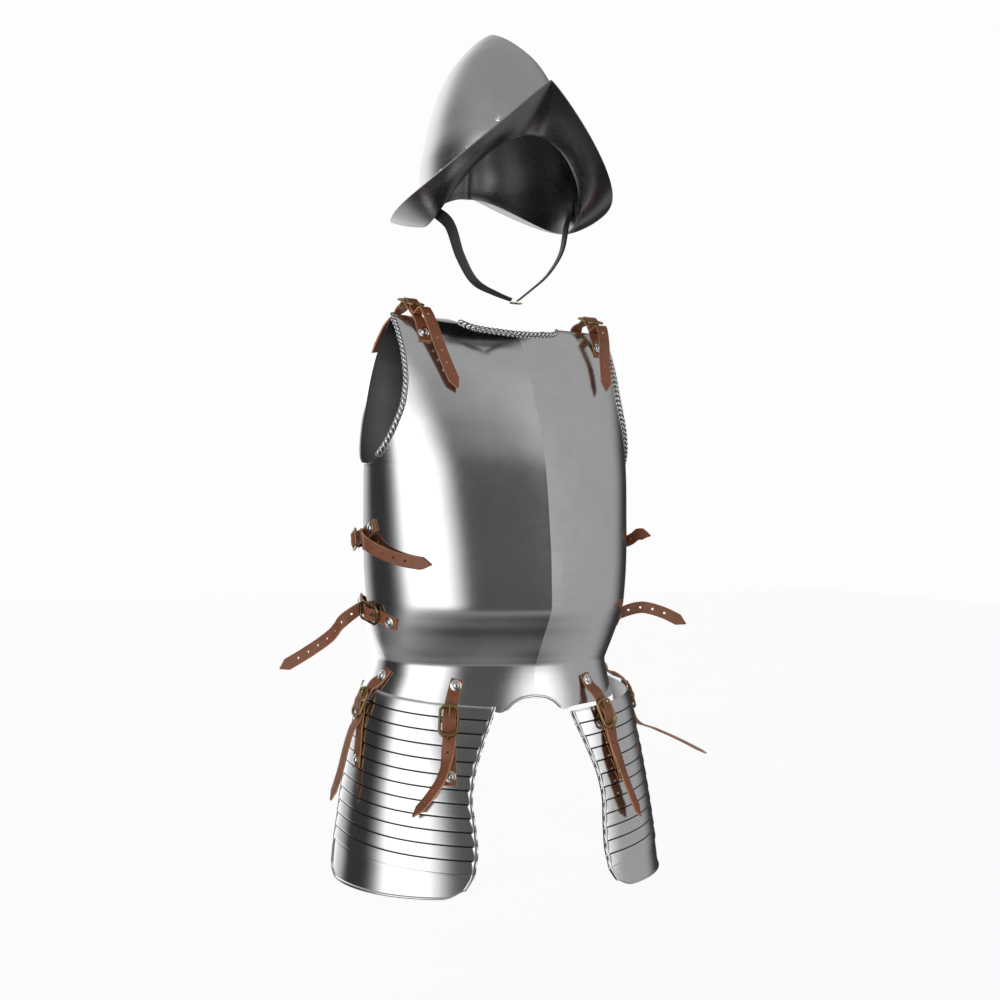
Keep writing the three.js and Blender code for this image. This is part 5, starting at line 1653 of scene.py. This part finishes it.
def studio_patch_group():
    """Lays one soft-edged light or dark side over the studio, by direction."""
    name = "Studio Patch"
    if name in bpy.data.node_groups:
        return bpy.data.node_groups[name]
    number = "NodeSocketFloat"
    group, given, result = new_group(
        name,
        [("Under", "NodeSocketColor", (0.4, 0.4, 0.4, 1)), ("Patch", "NodeSocketColor", (1, 1, 1, 1)),
         ("Turn", number, 0.0), ("Half Width", number, 20.0), ("Turn Soft", number, 5.0),
         ("Elevation", number, 0.0), ("Half Height", number, 30.0), ("Rise Soft", number, 8.0)],
        [("Colour", "NodeSocketColor")],
    )
    direction = group.nodes.new("ShaderNodeTexCoord").outputs["Generated"]
    parts = group.nodes.new("ShaderNodeSeparateXYZ")
    group.links.new(direction, parts.inputs[0])
    turn = math_node(group, "ARCTAN2", parts.outputs["X"], scaled(group, parts.outputs["Y"], -1.0))
    turn = math_node(group, "DEGREES", turn)
    away = math_node(group, "SUBTRACT", turn, given.outputs["Turn"])
    away = math_node(group, "ABSOLUTE", math_node(group, "WRAP", away, 180.0, -180.0))
    rise = math_node(group, "DEGREES", math_node(group, "ARCSINE", parts.outputs["Z"]))
    above = math_node(group, "ABSOLUTE", math_node(group, "SUBTRACT", rise, given.outputs["Elevation"]))
    masks = []
    for distance, half, soft in ((away, "Half Width", "Turn Soft"), (above, "Half Height", "Rise Soft")):
        edge = math_node(group, "SUBTRACT", given.outputs[half], distance)
        share = math_node(group, "DIVIDE", edge, given.outputs[soft])
        centred = math_node(group, "ADD", scaled(group, share, 0.5), 0.5)
        step = group.nodes.new("ShaderNodeMapRange")
        step.interpolation_type = "SMOOTHSTEP"
        group.links.new(centred, step.inputs["Value"])
        masks.append(step.outputs["Result"])
    mask = math_node(group, "MULTIPLY", *masks)
    mix = group.nodes.new("ShaderNodeMix")
    mix.data_type = "RGBA"
    group.links.new(mask, mix.inputs["Factor"])
    group.links.new(given.outputs["Under"], mix.inputs["A"])
    group.links.new(given.outputs["Patch"], mix.inputs["B"])
    group.links.new(mix.outputs["Result"], result.inputs["Colour"])
    return group


FLOOR_REACH = 14
FLOOR_TONE = 0.9
FLOOR_MOTTLE = 0.02
FLOOR_ROUGHNESS = 0.9
FLOOR_GLOW = 0.5


class ARMOUR_OT_stage(bpy.types.Operator):
    """Add the pale floor, the studio's soft light and the camera"""

    bl_idname = "armour.stage"
    bl_label = "Stage"

    def execute(self, context):
        stage = context.scene.armour_stage
        self.add_world(context.scene, stage)
        self.add_floor(context.scene, stage)
        self.add_camera(context.scene, stage)
        context.scene.view_settings.view_transform = "Standard"
        return {"FINISHED"}

    def add_world(self, scene, stage):
        """A plain soft studio of neutral lights, with a plain backdrop behind the armour."""
        world = bpy.data.worlds.new("studio")
        scene.world = world
        world.use_nodes = True
        tree = world.node_tree
        tree.nodes.clear()
        out = tree.nodes.new("ShaderNodeOutputWorld")
        colour = None
        for light_values in STUDIO_LIGHTS.values():
            values = dict(zip(STUDIO_COLUMNS, light_values))
            node = tree.nodes.new("ShaderNodeGroup")
            node.node_tree = studio_patch_group()
            for label, key in (("Turn", "turn"), ("Half Width", "half_width"), ("Turn Soft", "turn_soft"),
                               ("Elevation", "elevation"), ("Half Height", "half_height"),
                               ("Rise Soft", "rise_soft")):
                node.inputs[label].default_value = values[key]
            node.inputs["Patch"].default_value = (values["grey"], values["grey"], values["grey"], 1)
            if colour is None:
                node.inputs["Under"].default_value = STUDIO_BASE
            else:
                tree.links.new(colour, node.inputs["Under"])
            colour = node.outputs["Colour"]
        light = tree.nodes.new("ShaderNodeBackground")
        tree.links.new(colour, light.inputs["Color"])
        plain = tree.nodes.new("ShaderNodeBackground")
        plain.inputs["Color"].default_value = (*stage.backdrop, 1)
        rays = tree.nodes.new("ShaderNodeLightPath")
        mix = tree.nodes.new("ShaderNodeMixShader")
        tree.links.new(rays.outputs["Is Camera Ray"], mix.inputs["Fac"])
        tree.links.new(light.outputs[0], mix.inputs[1])
        tree.links.new(plain.outputs[0], mix.inputs[2])
        tree.links.new(mix.outputs[0], out.inputs["Surface"])

    def add_floor(self, scene, stage):
        mesh = bpy.data.meshes.new("studio_floor")
        corners = [(x * FLOOR_REACH, y * FLOOR_REACH, -stage.floor_drop) for x, y in SQUARE_CORNERS]
        mesh.from_pydata(corners, [], [(0, 1, 2, 3)])
        floor = bpy.data.objects.new("studio_floor", mesh)
        scene.collection.objects.link(floor)
        material = bpy.data.materials.new("pale_floor")
        material.use_nodes = True
        tree = material.node_tree
        shader = tree.nodes["Principled BSDF"]
        place = tree.nodes.new("ShaderNodeTexCoord").outputs["Object"]
        mottle = scaled(tree, noise_node(tree, place, 3), FLOOR_MOTTLE)
        tone = math_node(tree, "ADD", FLOOR_TONE, mottle)
        tree.links.new(tone, shader.inputs["Base Color"])
        shader.inputs["Roughness"].default_value = FLOOR_ROUGHNESS
        shader.inputs["Emission Color"].default_value = (1, 1, 1, 1)
        shader.inputs["Emission Strength"].default_value = FLOOR_GLOW
        mesh.materials.append(material)
        floor.visible_glossy = False

    def add_camera(self, scene, stage):
        turn, roll = math.radians(CAMERA_TURN), math.radians(CAMERA_ROLL)
        back = Vector((math.sin(turn), -math.cos(turn), 0))
        right = Vector((math.cos(turn), math.sin(turn), 0))
        up = back.cross(right)
        rolled_right = right * math.cos(roll) + up * math.sin(roll)
        rolled_up = up * math.cos(roll) - right * math.sin(roll)
        aside, level = CAMERA_AIM
        eye = Vector((0, 0, level * MM)) + rolled_right * aside * MM + back * stage.camera_distance
        camera = bpy.data.objects.new("camera", bpy.data.cameras.new("camera"))
        camera.data.sensor_width = SENSOR_WIDTH
        camera.data.lens = stage.lens
        turned = Matrix((rolled_right, rolled_up, back)).transposed().to_4x4()
        camera.matrix_world = Matrix.Translation(eye) @ turned
        scene.collection.objects.link(camera)
        scene.camera = camera


class ARMOUR_PT_panel(bpy.types.Panel):
    """Lists the steps that build the half armour"""

    bl_idname = "ARMOUR_PT_panel"
    bl_label = "Half Armour"
    bl_space_type = "VIEW_3D"
    bl_region_type = "UI"
    bl_category = "Half Armour"

    def draw(self, context):
        for group in (context.scene.armour_sizes, context.scene.armour_finish, context.scene.armour_stage):
            column = self.layout.column()
            for name in group.__annotations__:
                column.prop(group, name)
        for operator in OPERATORS:
            self.layout.operator(operator.bl_idname)


SETTINGS = {"armour_sizes": ArmourSizes, "armour_finish": ArmourFinish, "armour_stage": ArmourStage}
OPERATORS = [
    ARMOUR_OT_stage, ARMOUR_OT_breastplate, ARMOUR_OT_backplate, ARMOUR_OT_borders, ARMOUR_OT_tassets,
    ARMOUR_OT_helmet, ARMOUR_OT_chin_straps, ARMOUR_OT_straps,
]


def register():
    for cls in [*SETTINGS.values(), *OPERATORS, ARMOUR_PT_panel]:
        bpy.utils.register_class(cls)
    for name, group in SETTINGS.items():
        setattr(bpy.types.Scene, name, bpy.props.PointerProperty(type=group))


def unregister():
    for name in SETTINGS:
        delattr(bpy.types.Scene, name)
    for cls in [ARMOUR_PT_panel, *reversed(OPERATORS), *reversed(SETTINGS.values())]:
        bpy.utils.unregister_class(cls)


def main():
    register()
    for operator in OPERATORS:
        family, step = operator.bl_idname.split(".")
        getattr(getattr(bpy.ops, family), step)()


if __name__ == "__main__":
    main()
